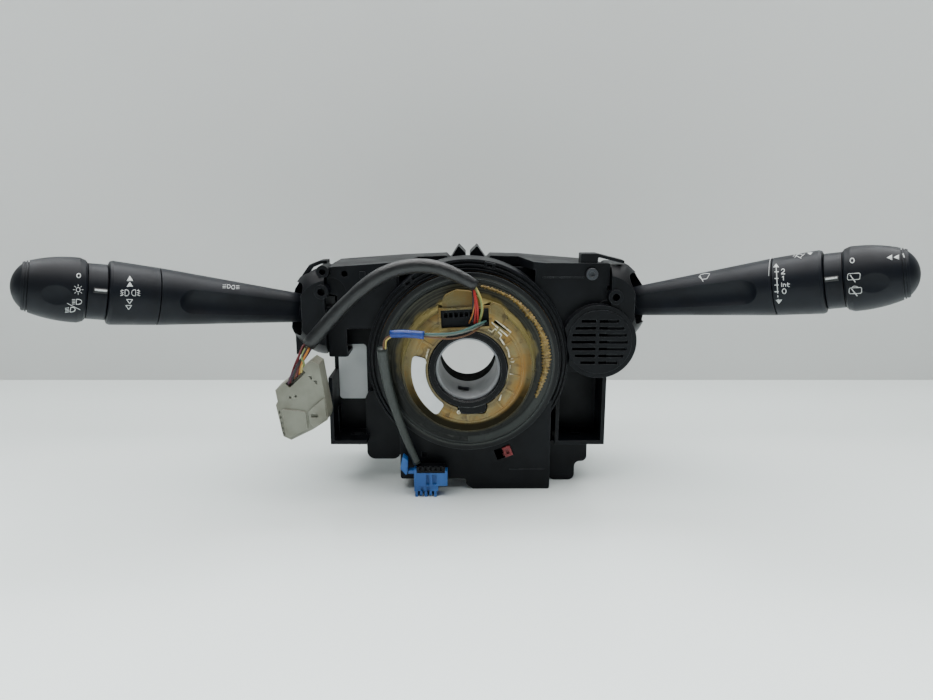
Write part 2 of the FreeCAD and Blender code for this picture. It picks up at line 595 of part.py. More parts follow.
# Right of the housing, a thin web closes the drum close behind the slotted plate
drum_web = disc(grille_x, grille_z, grille_r + 1.0, grille_y + grille_thick, grille_y + 2.2)
drum_lip = drum_lip.fuse(drum_web.common(box(pivot_x - 1, 100, 0, 50, -30, 60)))
drum = drum.common(box(0, pivot_x, 0, 50, -30, 60)).fuse(drum_lip).cut(cassette_room)
right_housing = right_housing.fuse(drum)
right_housing = right_housing.fuse(box(37.6, 58.6, front_y - 0.35, front_y, 41.3, 41.9))
tab_outline = [(56.8, 46.9), (56.8, 53.4), (64.9, 53.4), (78.8, 49.9), (78.8, 48.4), (65.6, 51.6),
               (65.2, 46.9)]
tab = soft_prism(tab_outline, 0.6, front_y + 1, front_y + 9)
right_housing = right_housing.fuse(tab).removeSplitter()
export(right_housing.cut(trunnion_hole(1, right_pivot_z)), "right_switch_housing")


def end_collar(side, outline, pivot_z, ball_r, extra, bosses):
    """The end of the housing around a stalk's dome, with the opening that the arm moves in."""
    pivot = V(side * pivot_x, pivot_y, pivot_z)
    block = soft_prism([(side * x, z) for x, z in outline], 2.4, 8.0, 46.0)
    block = block.common(Part.makeSphere(ball_r, V(side * (pivot_x - 2), pivot_y, pivot_z + 1.6)))
    shape = joined([block] + extra).cut(box(-pivot_x - 0.45, pivot_x + 0.45, -50, 100, -80, 100))
    shape = joined([shape] + [disc(x, z, outer, y0, 24) for x, z, outer, hole, y0, y1 in bosses])
    shape = shape.cut(Part.makeSphere(dome_r + gap, pivot))
    for x, z, outer, hole, y0, y1 in bosses:
        shape = shape.cut(disc(x, z, hole, y0 - 5, y1))
    return shape.cut(to_stalk(soft_opening(side), side))


def to_stalk(shape, side):
    """Moves a shape from a stalk's own frame (x outward, y to the driver, z up) into place."""
    sweep = math.radians(sweep_deg)
    rise = math.radians(left_rise_deg if side < 0 else right_rise_deg)
    pivot_z = left_pivot_z if side < 0 else right_pivot_z
    u = V(side * math.cos(sweep) * math.cos(rise), -math.sin(sweep) * math.cos(rise), math.sin(rise))
    w = V(-side * math.cos(sweep) * math.sin(rise), math.sin(sweep) * math.sin(rise), math.cos(rise))
    v = w.cross(u)
    placed = shape.copy() if side < 0 else shape.mirror(V(0, 0, 0), V(0, 1, 0))
    matrix = FreeCAD.Matrix(u.x, v.x, w.x, side * pivot_x, u.y, v.y, w.y, pivot_y,
                            u.z, v.z, w.z, pivot_z, 0, 0, 0, 1)
    placed.Placement = FreeCAD.Placement(matrix).multiply(placed.Placement)
    return placed


def soft_opening(side):
    high = 13.4 if side < 0 else 14.8
    low = -13.4 if side < 0 else -11.0
    shape = box(8, 40, -8.4, 10.8, low, high)
    return shape.makeFillet(5, [e for e in shape.Edges if e.BoundBox.XLength > 30])


left_outline = [(pivot_x, 44.4), (79, 44.4), (85.6, 41.4), (90.6, 34), (92.6, 26), (92.8, 14), (90.6, 4.6),
                (88, 1.5),
                (pivot_x, 1.5)]
right_outline = [(pivot_x, 47.6), (81.5, 47.6), (87.4, 42), (91.6, 35.5), (93.0, 28), (92.0, 20), (88.0, 12),
                 (83.6, 6.4), (pivot_x, 6.4)]
strap = [(-71.6, 46.4), (-71.6, 49.6), (-75.4, 49.4), (-81.2, 47.2), (-85.0, 42.0), (-85.4, 37.0),
         (-83.6, 37.0), (-83.4, 41.4), (-80.2, 45.6), (-75.0, 47.7), (-73.6, 47.8), (-73.6, 46.4)]
left_extra = [soft_prism(strap, 0.5, 19, 27), box(-89.6, -85.4, 18, 24, 0.6, 12.4)]
left_collar = end_collar(-1, left_outline, left_pivot_z, 25.5, left_extra, left_bosses)
export(left_collar, "left_end_collar")
right_collar = end_collar(1, right_outline, right_pivot_z, 24.8, [], right_bosses)
right_collar = right_collar.cut(disc(grille_x, grille_z, grille_r + 2.7, 0, grille_y + 2.6))
export(right_collar, "right_end_collar")

# Speaker grille: a round plate with rows of slots, and the sounder behind it
grille = disc(grille_x, grille_z, grille_r, grille_y, grille_y + grille_thick)
row_count = 7
row_step = 3.55
slot_z = 1.5
for i in range(row_count):
    z = grille_z + (i - (row_count - 1) / 2) * row_step
    reach = math.sqrt((grille_r - 2.2) ** 2 - (z - grille_z) ** 2)
    middle = grille_x - 1.2
    for x0, x1 in ((grille_x - reach, middle - 0.8), (middle + 0.8, grille_x + reach)):
        grille = grille.cut(box(x0, x1, grille_y - 1, grille_y + 5, z - slot_z / 2, z + slot_z / 2))
export(grille, "speaker_grille")
sounder_r = 7.5
sounder_x = grille_x - 5.5
sounder_z = grille_z - 1.5
sounder_y = front_y + wall + gap
sounder = [disc(sounder_x, sounder_z, sounder_r, sounder_y, sounder_y + 4.6)]
sounder.append(disc(sounder_x, sounder_z, 4.0, sounder_y + 4.6, plate_y))
export(joined(sounder), "sounder")

# Rear cover, board and vehicle connector
cover_hole_r = hub_r + 4.8
rear = soft_box(left_x + 0.1, right_x - 0.1, rear_y, rear_y + 2.0, shelf_z, cover_bottom - 0.2, 3.0)
rear = rear.cut(ring(0, cover_hole_r, 0, 90))
connector_x0 = 24.0
connector_x1 = 58.0
connector_z0 = -38.0
connector_z1 = -22.0
rear = rear.cut(box(connector_x0 - gap, connector_x1 + gap, 0, 90, connector_z0 - gap, connector_z1 + gap))
for i in range(9):
    rear = rear.cut(box(-56 + i * 5, -53.6 + i * 5, 0, 90, -36, -22))
board_y = 50.0
board_thick = 1.6
post_places = [(-61, -38), (61, -12), (-61, 38), (61, 38)]
for x, z in post_places:
    rear = rear.fuse(disc(x, z, 3.2, board_y + board_thick, rear_y))
    rear = rear.cut(disc(x, z, 1.6, 0, 90))
export(rear.removeSplitter(), "rear_cover")

board = box(-64, 64, board_y, board_y + board_thick, -42, 41).cut(ring(0, cover_hole_r - 2, 0, 90))
for x, z in post_places:
    board = board.cut(disc(x, z, 1.6, 0, 90))
for side in (-1, 1):
    board = board.cut(box(min(side * 60, side * 80), max(side * 60, side * 80), 40, 60, 12, 34))
export(board, "circuit_board")

chips = []
chip_size = 7.0
for i in range(5):
    x = -48 + i * 10.0
    z = -36 + (i % 2) * 3
    chips.append(box(x, x + chip_size, board_y - 1.4, board_y, z, z + chip_size))
chips.append(box(30, 44, board_y - 1.8, board_y, 24, 36))
chips.append(disc(-40, 30, 4, board_y - 8, board_y))
export(Part.makeCompound(chips), "board_chips")

shell_wall = 1.4
mouth_y = board_y + board_thick + 3
shell = box(connector_x0, connector_x1, board_y + board_thick, rear_y + 7, connector_z0, connector_z1)
shell = shell.cut(box(connector_x0 + shell_wall, connector_x1 - shell_wall, mouth_y, rear_y + 9,
                      connector_z0 + shell_wall, connector_z1 - shell_wall))
export(shell, "vehicle_connector")
pins = []
for i in range(10):
    for row in (0, 1):
        x = connector_x0 + 4 + i * 2.9
        z = connector_z0 + 5 + row * 5.5
        pins.append(box(x, x + 0.7, mouth_y, rear_y + 1.5, z, z + 0.7))
export(Part.makeCompound(pins), "connector_pins")

screws = []
for x, z in post_places:
    shank = disc(x, z, 1.5, board_y + board_thick, rear_y + 2)
    screws.append(shank.fuse(disc(x, z, 3.0, rear_y + 2.0, rear_y + 4.2)))
front_screw = disc(62.3, 43.4, 3.0, front_y - 2.2, front_y).fuse(disc(62.3, 43.4, 1.5, front_y, front_y + 8))
screws.append(front_screw.cut(disc(62.3, 43.4, 1.3, front_y - 4, front_y - 1.0)))
export(Part.makeCompound(screws), "housing_screws")

export(soft_box(-69.8, -54.6, plate_y - 0.25, plate_y, -26.8, 3.6, 2.0), "blank_sticker")


# Stalks, drawn in their own frame: x runs outward from the pivot, y to the driver, z up
cap_reach = 12.9
hinge_r = 5.0
hinge_half = 7.0
yoke_half_x = 3.5
yoke_in_y = 9.5
yoke_out_y = 11.4
yoke_in_z = hinge_half + gap
yoke_out_z = 9.2
scoop_r = 11.0
spigot_length = 13.0
button_r = knob_tip_r - 0.85
pocket_r = button_r + slide_gap
pocket_depth = 6.3
stem_r = 3.0


def stations(side):
    """Ends of the arm, of the ring or sleeve, of the neck and of the knob, along the stalk from its pivot."""
    arm_end = left_arm_end_u if side < 0 else right_arm_end_u
    ring_end = arm_end + seam + (left_ring_length if side < 0 else right_ring_length)
    neck_end = ring_end + (left_neck_length if side < 0 else right_neck_length)
    return arm_end, ring_end, neck_end, neck_end + seam + knob_length


def section(u, half_y, half_z):
    """An upright ellipse at a station of the stalk."""
    curve = Part.Ellipse(V(0, 0, 0), half_z, half_y).toShape()
    curve.Placement = FreeCAD.Placement(FreeCAD.Matrix(0, 0, 1, u, 0, 1, 0, 0, -1, 0, 0, 0, 0, 0, 0, 1))
    return Part.Wire(curve)


def stalk_arm(side):
    arm_end_u = stations(side)[0]
    arm_end = section(arm_end_u, arm_end_r - 0.2, arm_end_r)
    body = Part.makeLoft([section(dome_r + 4.0, arm_root_y, arm_root_z), arm_end], True, True)
    root_start = section(dome_r - 2.5, arm_root_y - 0.7, arm_root_z - 0.7)
    root = Part.makeLoft([root_start, section(dome_r + 4.2, arm_root_y, arm_root_z)], True, True)
    shaft = rod((0, 0, 0), (dome_r - 1, 0, 0), 4.3)
    dome = Part.makeSphere(dome_r).cut(Part.makeSphere(dome_r - dome_wall))
    dome = dome.common(box(8, 30, -12.0, 10.2, -20, 20)).common(rod((0, 0, 0), (30, 0, 0), cap_reach))
    scoop_end = V(69.8, 19.5, 0)
    scoop_start = V(14.0, 15.6, 0)
    scoop = Part.makeCylinder(scoop_r, (scoop_end - scoop_start).Length, scoop_start, scoop_end - scoop_start)
    scoop = scoop.fuse(Part.makeSphere(scoop_r, scoop_end))
    scoop = scoop.common(box(dome_r + 2.0, 100, -50, 50, -50, 50))
    shape = joined([body, root, shaft, dome]).cut(scoop)
    shape = shape.cut(rod((arm_end_u - 8.2, 0, 0), (arm_end_u + 1, 0, 0), spigot_r + fit_gap))
    return shape.cut(rod((7.0, 0, 0), (arm_end_u, 0, 0), wire_hole_r))


def stalk_ring(side, end_r):
    arm_end_u, ring_end_u, neck_end_u, knob_end_u = stations(side)
    start = arm_end_u + seam
    inner = barrel_r + running_gap
    profile = [(start, inner), (start, arm_end_r - 0.3), (start + 0.3, arm_end_r),
               (ring_end_u - 1.6, end_r), (ring_end_u - 0.4, end_r - 0.5), (ring_end_u, end_r - 1.5),
               (ring_end_u, inner)]
    return spun(profile)


def stalk_neck(side):
    arm_end_u, ring_end_u, neck_end_u, knob_end_u = stations(side)
    start = ring_end_u + seam
    tip = neck_end_u + spigot_length
    profile = [(arm_end_u - 8.0, wire_hole_r), (arm_end_u - 8.0, spigot_r), (arm_end_u, spigot_r),
               (arm_end_u, barrel_r), (start, barrel_r), (start, neck_r - 0.3),
               (start + 0.3, neck_r), (neck_end_u, neck_r - 0.1), (neck_end_u, spigot_r),
               (tip, spigot_r), (tip, wire_hole_r)]
    return spun(profile)


def stalk_knob(side):
    arm_end_u, ring_end_u, neck_end_u, end_u = stations(side)
    start_u = neck_end_u + seam
    shoulder = 3.2
    fit_r = spigot_r + running_gap
    stem_hole_r = stem_r + running_gap
    bore_end = neck_end_u + spigot_length + 0.6
    floor_u = end_u - pocket_depth
    start = V(start_u + shoulder, knob_r, 0)
    middle = V(start_u + 14.5, knob_r - 1.0, 0)
    end = V(end_u, knob_tip_r, 0)
    front = [V(start_u, fit_r, 0), V(start_u, knob_r - 1.9, 0), V(start_u + 0.9, knob_r - 0.8, 0), start]
    inside = [end, V(end_u, pocket_r, 0), V(floor_u, pocket_r, 0), V(floor_u, stem_hole_r, 0),
              V(bore_end, stem_hole_r, 0), V(bore_end, fit_r, 0), V(start_u, fit_r, 0)]
    edges = [Part.LineSegment(a, b).toShape() for a, b in zip(front, front[1:])]
    edges.append(Part.Arc(start, middle, end).toShape())
    edges += [Part.LineSegment(a, b).toShape() for a, b in zip(inside, inside[1:])]
    shape = Part.Face(Part.Wire(edges)).revolve(V(0, 0, 0), V(1, 0, 0), 360)
    groove_u = end_u - 2.6
    groove_floor = rod((0, 0, 0), (200, 0, 0), knob_tip_r + 0.15)
    for u in (groove_u, groove_u + 1.1):
        shape = shape.cut(rod((u, 0, 0), (u + 0.45, 0, 0), 30).cut(groove_floor))
    thumb = Part.makeSphere(24, V(start_u + 15.0, knob_r + 22.0, -3.4))
    return shape.cut(thumb)


def stalk_button(side):
    arm_end_u, ring_end_u, neck_end_u, knob_end_u = stations(side)
    back = knob_end_u - pocket_depth + press_travel + 0.5
    stem_end = neck_end_u + spigot_length + press_travel + 0.5
    ball_r = (button_r ** 2 + button_length ** 2) / (2 * button_length)
    ball = Part.makeSphere(ball_r, V(knob_end_u + 0.1 + button_length - ball_r, 0, 0))
    cap = rod((back, 0, 0), (knob_end_u + button_length + 5, 0, 0), button_r)
    cap = cap.common(ball.fuse(rod((back - 1, 0, 0), (knob_end_u + 0.1, 0, 0), button_r + 1)))
    return cap.fuse(rod((stem_end, 0, 0), (back + 1, 0, 0), stem_r)).removeSplitter()


stalks = [(-1, "left", left_pivot_z, arm_end_r + 1.2), (1, "right", right_pivot_z, arm_end_r + 1.1)]
for side, word, pivot_z, end_r in stalks:
    pivot = V(side * pivot_x, pivot_y, pivot_z)
    hinge = Part.makeCylinder(hinge_r, 2 * hinge_half, pivot - V(0, 0, hinge_half))
    pin_hole = Part.makeCylinder(pin_r + running_gap, 40, pivot - V(0, 0, 20))
    arm = to_stalk(stalk_arm(side), side).fuse(hinge).cut(pin_hole)
    export(arm.removeSplitter(), word + "_arm")
    yoke = box(-yoke_half_x, yoke_half_x, -yoke_out_y, yoke_out_y, -yoke_out_z, yoke_out_z)
    yoke = yoke.cut(box(-yoke_half_x - 1, yoke_half_x + 1, -yoke_in_y, yoke_in_y, -yoke_in_z, yoke_in_z))
    for end in (-1, 1):
        yoke = yoke.fuse(rod((0, end * (yoke_out_y - 0.5), 0), (0, end * trunnion_end, 0), trunnion_r))
    yoke.translate(pivot)
    yoke = yoke.cut(Part.makeCylinder(pin_r, 40, pivot - V(0, 0, 20)))
    export(yoke.removeSplitter(), word + "_carrier")
    export(Part.makeCylinder(pin_r, 2 * yoke_out_z, pivot - V(0, 0, yoke_out_z)), word + "_pull_pin")
    plunger = rod((-hinge_r + 0.6, 0, 0), (-11.6, 0, 0), 1.7).fuse(Part.makeSphere(1.7, V(-11.6, 0, 0)))
    plunger = to_stalk(plunger, side).cut(Part.makeCylinder(hinge_r, 40, pivot - V(0, 0, 20)))
    export(plunger, word + "_detent_plunger")
    track = Part.makeSphere(15.4, pivot).cut(Part.makeSphere(13.3 + gap, pivot))
    inner_x = side * (pivot_x - 16)
    outer_x = side * (pivot_x - 8)
    track = track.common(box(min(inner_x, outer_x), max(inner_x, outer_x), pivot_y - 9, pivot_y + 9,
                             pivot_z - 9, pivot_z + 9))
    foot_x = side * (pivot_x - 14.6)
    foot = box(foot_x - 1, foot_x + 1, front_y + wall, pivot_y - 3, pivot_z - 4, pivot_z + 4)
    foot = foot.cut(Part.makeSphere(13.3 + gap, pivot))
    export(joined([track, foot]), word + "_detent_track")
    export(to_stalk(stalk_neck(side), side), word + "_neck")
    export(to_stalk(stalk_ring(side, end_r), side), word + ("_fog_ring" if side < 0 else "_sleeve"))
    export(to_stalk(stalk_knob(side), side), word + "_knob")
    export(to_stalk(stalk_button(side), side), word + "_button")
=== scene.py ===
import bpy
import json
import math
import numpy as np
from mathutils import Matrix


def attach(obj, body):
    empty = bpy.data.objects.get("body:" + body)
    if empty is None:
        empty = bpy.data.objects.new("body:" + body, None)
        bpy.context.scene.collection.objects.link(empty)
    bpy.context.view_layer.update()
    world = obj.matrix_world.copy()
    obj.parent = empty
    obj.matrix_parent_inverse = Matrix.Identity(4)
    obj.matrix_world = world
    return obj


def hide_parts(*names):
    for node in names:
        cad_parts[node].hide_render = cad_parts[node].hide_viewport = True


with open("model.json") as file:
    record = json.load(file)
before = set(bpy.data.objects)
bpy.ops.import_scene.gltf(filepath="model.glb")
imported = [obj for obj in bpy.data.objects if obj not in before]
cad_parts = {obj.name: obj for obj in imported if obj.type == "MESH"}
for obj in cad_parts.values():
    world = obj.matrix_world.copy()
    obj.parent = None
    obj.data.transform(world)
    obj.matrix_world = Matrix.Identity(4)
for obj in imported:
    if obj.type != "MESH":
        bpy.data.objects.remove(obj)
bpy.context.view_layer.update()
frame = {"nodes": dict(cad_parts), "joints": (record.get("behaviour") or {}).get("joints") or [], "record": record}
nodes = frame["nodes"]
joints = {joint["name"]: joint for joint in frame["joints"]}

# camera

# the place the photograph was taken from, in millimetres, its tilt in degrees and its lens in pixels
camera = {"place": (-0.75, -364.7, 87.7), "pitch": 12.5, "focal": 750.0, "centre": (466.5, 350.0), "width": 933.0,
          "sensor": 36.0}


def makeCamera(c):
    data = bpy.data.cameras.new("camera")
    data.sensor_width = c["sensor"]
    data.lens = c["focal"] * c["sensor"] / c["width"]
    data.clip_start = 0.01
    obj = bpy.data.objects.new("camera", data)
    obj.location = [v / 1000 for v in c["place"]]
    obj.rotation_euler = (math.radians(90 - c["pitch"]), 0, 0)
    bpy.context.scene.collection.objects.link(obj)
    bpy.context.scene.camera = obj


def pixelRays(pixels):
    # the direction of each pixel: forward, plus the pixel's offset right and down over the focal length
    c = camera
    p = np.asarray(pixels, float).reshape(-1, 2)
    right = (p[:, 0] - c["centre"][0]) / c["focal"]
    down = (p[:, 1] - c["centre"][1]) / c["focal"]
    tilt = math.radians(c["pitch"])
    forward = math.cos(tilt) - math.sin(tilt) * down
    up = -math.sin(tilt) - math.cos(tilt) * down
    return np.stack([right, forward, up], 1)


def atPixels(points):
    # points are (x, y in the picture, depth Y in millimetres); the ray is cut at that depth
    p = np.asarray(points, float)
    eye = np.array(camera["place"])
    rays = pixelRays(p[:, :2])
    reach = (p[:, 2] - eye[1]) / rays[:, 1]
    return eye + rays * reach[:, None]


makeCamera(camera)
print("camera placed")

# tools for surfaces on a grid


def gridFaces(rows, cols, around=False):
    # quads of a grid of points; around joins the last column to the first
    i = np.arange(rows - 1)[:, None]
    j = np.arange(cols if around else cols - 1)[None, :]
    k = (j + 1) % cols
    return np.stack([i * cols + j, i * cols + k, (i + 1) * cols + k, (i + 1) * cols + j], 2).reshape(-1, 4)


def putMesh(name, points, faces, body, finish, smooth=True, place=None):
    # points in millimetres; a tube's place values are kept with its points
    mesh = bpy.data.meshes.new(name)
    mesh.from_pydata((np.asarray(points) / 1000).tolist(), [], [list(map(int, f)) for f in faces])
    mesh.polygons.foreach_set("use_smooth", [smooth] * len(mesh.polygons))
    if place is not None:
        layer = mesh.attributes.new("tubePlace", "FLOAT_VECTOR", "POINT")
        layer.data.foreach_set("vector", np.asarray(place, np.float32).ravel())
    mesh.update()
    obj = bpy.data.objects.new(name, mesh)
    bpy.context.scene.collection.objects.link(obj)
    obj.data.materials.append(finish)
    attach(obj, body)
    return obj


def tubeParts(path, radii, sides, flat=1.0):
    # a round profile carried along a path: centre + radius * (cos a * across + sin a * outward)
    path = np.asarray(path, float)
    radii = np.broadcast_to(np.asarray(radii, float), len(path))
    along = np.gradient(path, axis=0)
    along /= np.linalg.norm(along, axis=1)[:, None]
    across = np.cross(along, (0.0, 1.0, 0.0))
    across /= np.linalg.norm(across, axis=1)[:, None]
    outward = np.cross(along, across)
    turn = np.linspace(0, 2 * np.pi, sides, endpoint=False)
    rim = np.cos(turn)[None, :, None] * across[:, None] + flat * np.sin(turn)[None, :, None] * outward[:, None]
    points = (path[:, None] + radii[:, None, None] * rim).reshape(-1, 3)
    n = len(path)
    ends = np.stack([path[0], path[-1]])
    far = np.concatenate([[0], np.cumsum(np.linalg.norm(np.diff(path, axis=0), axis=1))])
    place = np.stack([np.repeat(far, sides), np.tile(np.cos(turn), n), np.tile(np.sin(turn), n)], 1)
    place = np.vstack([place, [[far[0], 0, 0], [far[-1], 0, 0]]])
    j = np.arange(sides)
    k = (j + 1) % sides
    first = np.stack([np.full(sides, n * sides), k, j], 1)
    last = np.stack([np.full(sides, n * sides + 1), (n - 1) * sides + j, (n - 1) * sides + k], 1)
    faces = gridFaces(n, sides, True).tolist() + first.tolist() + last.tolist()
    return np.vstack([points, ends]), faces, place


def gather(parts):
    # several (points, faces) joined into one set
    points, faces, start = [], [], 0
    for p, f in parts:
        points.append(p)
        faces += [[v + start for v in face] for face in f]
        start += len(p)
    return np.vstack(points), faces


def routePoints(points):
    # a smooth line with the route's points, in millimetres, as its control points, read back as points along it
    curve = bpy.data.curves.new("routeLine", "CURVE")
    curve.dimensions = "3D"
    curve.resolution_u = 10
    spline = curve.splines.new("NURBS")
    spline.points.add(len(points) - 1)
    spline.points.foreach_set("co", [v for p in points for v in (p[0] / 1000, p[1] / 1000, p[2] / 1000, 1.0)])
    spline.order_u = 3
    spline.use_endpoint_u = True
    obj = bpy.data.objects.new("routeLine", curve)
    mesh = bpy.data.meshes.new_from_object(obj)
    found = np.zeros(len(mesh.vertices) * 3)
    mesh.vertices.foreach_get("co", found)
    bpy.data.meshes.remove(mesh)
    bpy.data.objects.remove(obj)
    return found.reshape(-1, 3) * 1000


def eased(t):
    # a soft start and stop: t squared times (3 - 2 t)
    return t * t * (3 - 2 * t)


# shader tools


def join(tree, socket, value):
    # a socket takes another node's output or a plain value
    if isinstance(value, bpy.types.NodeSocket):
        tree.links.new(value, socket)
    else:
        socket.default_value = value


def dress(tree, node, links):
    for key, value in links.items():
        join(tree, node.inputs[key], value)


def put(tree, kind, links=None, **values):
    # a node with its own settings, and sockets set to values or joined to other outputs
    node = tree.nodes.new(kind)
    for key, value in values.items():
        setattr(node, key, value)
    dress(tree, node, links or {})
    return node


def newMaterial(name):
    # a bare material: its tree, its shader and the object's own coordinates
    mat = bpy.data.materials.new(name)
    mat.use_nodes = True
    tree = mat.node_tree
    tree.nodes.clear()
    shader = put(tree, "ShaderNodeBsdfPrincipled")
    put(tree, "ShaderNodeOutputMaterial", {"Surface": shader.outputs["BSDF"]})
    return mat, tree, shader, put(tree, "ShaderNodeTexCoord").outputs["Object"]


def mixed(tree, mask, a, b):
    # colour a where the mask is 0 and b where it is 1
    return put(tree, "ShaderNodeMix", {0: mask, 6: a, 7: b}, data_type="RGBA").outputs[2]


def layered(tree, color, layers):
    # each layer is a mask and the colour that lies where the mask is 1
    for mask, over in layers:
        color = mixed(tree, mask, color, rgb(over))
    return color


def sums(tree, how, a, b=0.0, clamp=False):
    return put(tree, "ShaderNodeMath", {0: a, 1: b}, operation=how, use_clamp=clamp).outputs[0]


def times(tree, a, b, clamp=False):
    return sums(tree, "MULTIPLY", a, b, clamp)


def apart(tree, value, middle):
    # how far a value is from the middle, either way
    return sums(tree, "ABSOLUTE", sums(tree, "SUBTRACT", value, middle))


def ramp(tree, value, low, high, toLow=0.0, toHigh=1.0):
    # a soft step from toLow, where the value is low, to toHigh, where it is high
    links = {"Value": value, "From Min": low, "From Max": high, "To Min": toLow, "To Max": toHigh}
    return put(tree, "ShaderNodeMapRange", links, interpolation_type="SMOOTHSTEP").outputs["Result"]


def noise(tree, place, scale, detail, rough=0.5, bend=0.0):
    # smooth noise from 0 to 1
    links = {"Vector": place, "Scale": scale, "Detail": detail, "Roughness": rough, "Distortion": bend}
    return put(tree, "ShaderNodeTexNoise", links).outputs["Fac"]


def cells(tree, place, scale):
    # the distance to the nearest of many scattered points
    return put(tree, "ShaderNodeTexVoronoi", {"Vector": place, "Scale": scale}).outputs["Distance"]


def bumped(tree, height, strength, distance, links=None):
    links = {"Height": height, "Strength": strength, "Distance": distance, **(links or {})}
    return put(tree, "ShaderNodeBump", links).outputs["Normal"]


def newGroup(name, ins, outs):
    # each socket is a name and its kind
    tree = bpy.data.node_groups.new(name, "ShaderNodeTree")
    for way, sockets in (("INPUT", ins), ("OUTPUT", outs)):
        for key, kind in sockets.items():
            tree.interface.new_socket(name=key, in_out=way, socket_type="NodeSocket" + kind)
    return tree, tree.nodes.new("NodeGroupInput").outputs, tree.nodes.new("NodeGroupOutput")


# effects shared by the finishes; a noise is (scale per metre, detail, roughness, distortion), and a soft step is
# (start, end, value at the start, value at the end)
effects = {
    "grain": {"detail": 2.0, "cells": 0.6, "blotch": (55.0, 4.0, 0.6)},
    "edge": {"samples": 4, "bend": (0.995, 0.86), "patch": (420.0, 3.0), "patches": (0.4, 0.6)},
    "dust": {"up": (-0.4, 1.0, 0.25, 1.0), "patch": (38.0, 6.0, 0.7), "patches": (0.42, 0.75), "speckScale": 520.0,
             "specks": (0.16, 0.05, 0.0, 0.35)},
}


def mouldGrainGroup(look):
    # fine moulded grain: a tight noise for the pores and a broad one for the unevenness of the surface
    tree, ins, outs = newGroup("mouldGrain", {"Vector": "Vector", "Scale": "Float"},
                               {"Height": "Float", "Blotch": "Float"})
    pores = times(tree, cells(tree, ins["Vector"], ins["Scale"]), look["cells"])
    fine = noise(tree, ins["Vector"], ins["Scale"], look["detail"])
    blotch = noise(tree, ins["Vector"], *look["blotch"])
    dress(tree, outs, {"Height": sums(tree, "ADD", fine, pores), "Blotch": blotch})
    return tree


def edgeWearGroup(look):
    # where the rounded normal leaves the flat one, the surface has an edge; noise breaks the worn line up
    tree, ins, outs = newGroup("edgeWear", {"Vector": "Vector", "Radius": "Float", "Breakup": "Float"},
                               {"Mask": "Float", "Normal": "Vector"})
    soft = put(tree, "ShaderNodeBevel", {"Radius": ins["Radius"]}, samples=look["samples"]).outputs["Normal"]
    flat = put(tree, "ShaderNodeNewGeometry").outputs["Normal"]
    alike = put(tree, "ShaderNodeVectorMath", {0: soft, 1: flat}, operation="DOT_PRODUCT").outputs["Value"]
    patches = ramp(tree, noise(tree, ins["Vector"], *look["patch"]), *look["patches"])
    broken = sums(tree, "SUBTRACT", 1.0, times(tree, patches, ins["Breakup"]))
    dress(tree, outs, {"Mask": times(tree, ramp(tree, alike, *look["bend"]), broken), "Normal": soft})
    return tree


def dustFilmGroup(look):
    # thin dust: more on faces that look up, in patches and fine specks
    tree, ins, outs = newGroup("dustFilm", {"Vector": "Vector", "Amount": "Float"}, {"Mask": "Float"})
    normal = put(tree, "ShaderNodeNewGeometry").outputs["Normal"]
    upward = ramp(tree, put(tree, "ShaderNodeSeparateXYZ", {"Vector": normal}).outputs["Z"], *look["up"])
    patches = ramp(tree, noise(tree, ins["Vector"], *look["patch"]), *look["patches"])
    specks = ramp(tree, cells(tree, ins["Vector"], look["speckScale"]), *look["specks"])
    film = sums(tree, "ADD", times(tree, patches, upward), specks)
    dress(tree, outs, {"Mask": times(tree, film, ins["Amount"], True)})
    return tree


groups = {key: build(effects[key])
          for key, build in (("grain", mouldGrainGroup), ("edge", edgeWearGroup), ("dust", dustFilmGroup))}


def useGroup(tree, key, links):
    return put(tree, "ShaderNodeGroup", links, node_tree=groups[key]).outputs


def dusted(tree, place, amount):
    return useGroup(tree, "dust", {"Vector": place, "Amount": amount})["Mask"]


def worn(tree, place, look):
    # the mask of worn edges and the rounded normal there
    edge = useGroup(tree, "edge", {"Vector": place, "Radius": look["edgeRadius"], "Breakup": look["breakup"]})
    return times(tree, edge["Mask"], look["wear"]), edge["Normal"]


def rgb(values):
    # a colour as read off the picture, 0 to 255, made linear
    c = np.asarray(values, float) / 255
    return (*np.where(c <= 0.04045, c / 12.92, ((c + 0.055) / 1.055) ** 2.4).tolist(), 1.0)


# what a moulded finish has unless its own look says otherwise
mouldedLook = {"grainScale": 2600.0, "grainStrength": 0.25, "grainDepth": 0.00004, "blotches": (0.35, 0.68),
               "edgeRadius": 0.00035, "breakup": 0.55, "wear": 0.3, "wearColor": (150, 152, 152), "dust": 0.25,
               "dustColor": (150, 150, 144), "dustRough": 0.3, "roughVary": 0.1, "specular": 0.5, "metallic": 0.0}


def moulded(name, own):
    # a moulded plastic with grain, worn edges and dust
    look = {**mouldedLook, **own}
    mat, tree, shader, place = newMaterial(name)
    grain = useGroup(tree, "grain", {"Vector": place, "Scale": look["grainScale"]})
    wear, soft = worn(tree, place, look)
    dust = dusted(tree, place, look["dust"])
    blotch = ramp(tree, grain["Blotch"], *look["blotches"])
    layers = [(blotch, look.get("color2", look["color"])), (wear, look["wearColor"]), (dust, look["dustColor"])]
    rough = sums(tree, "ADD", times(tree, blotch, look["roughVary"]), look["rough"])
    bump = bumped(tree, grain["Height"], look["grainStrength"], look["grainDepth"], {"Normal": soft})
    dress(tree, shader, {"Base Color": layered(tree, rgb(look["color"]), layers), "Normal": bump,
                         "Roughness": sums(tree, "ADD", rough, times(tree, dust, look["dustRough"]), True),
                         "Specular IOR Level": look["specular"], "Metallic": look["metallic"]})
    return mat


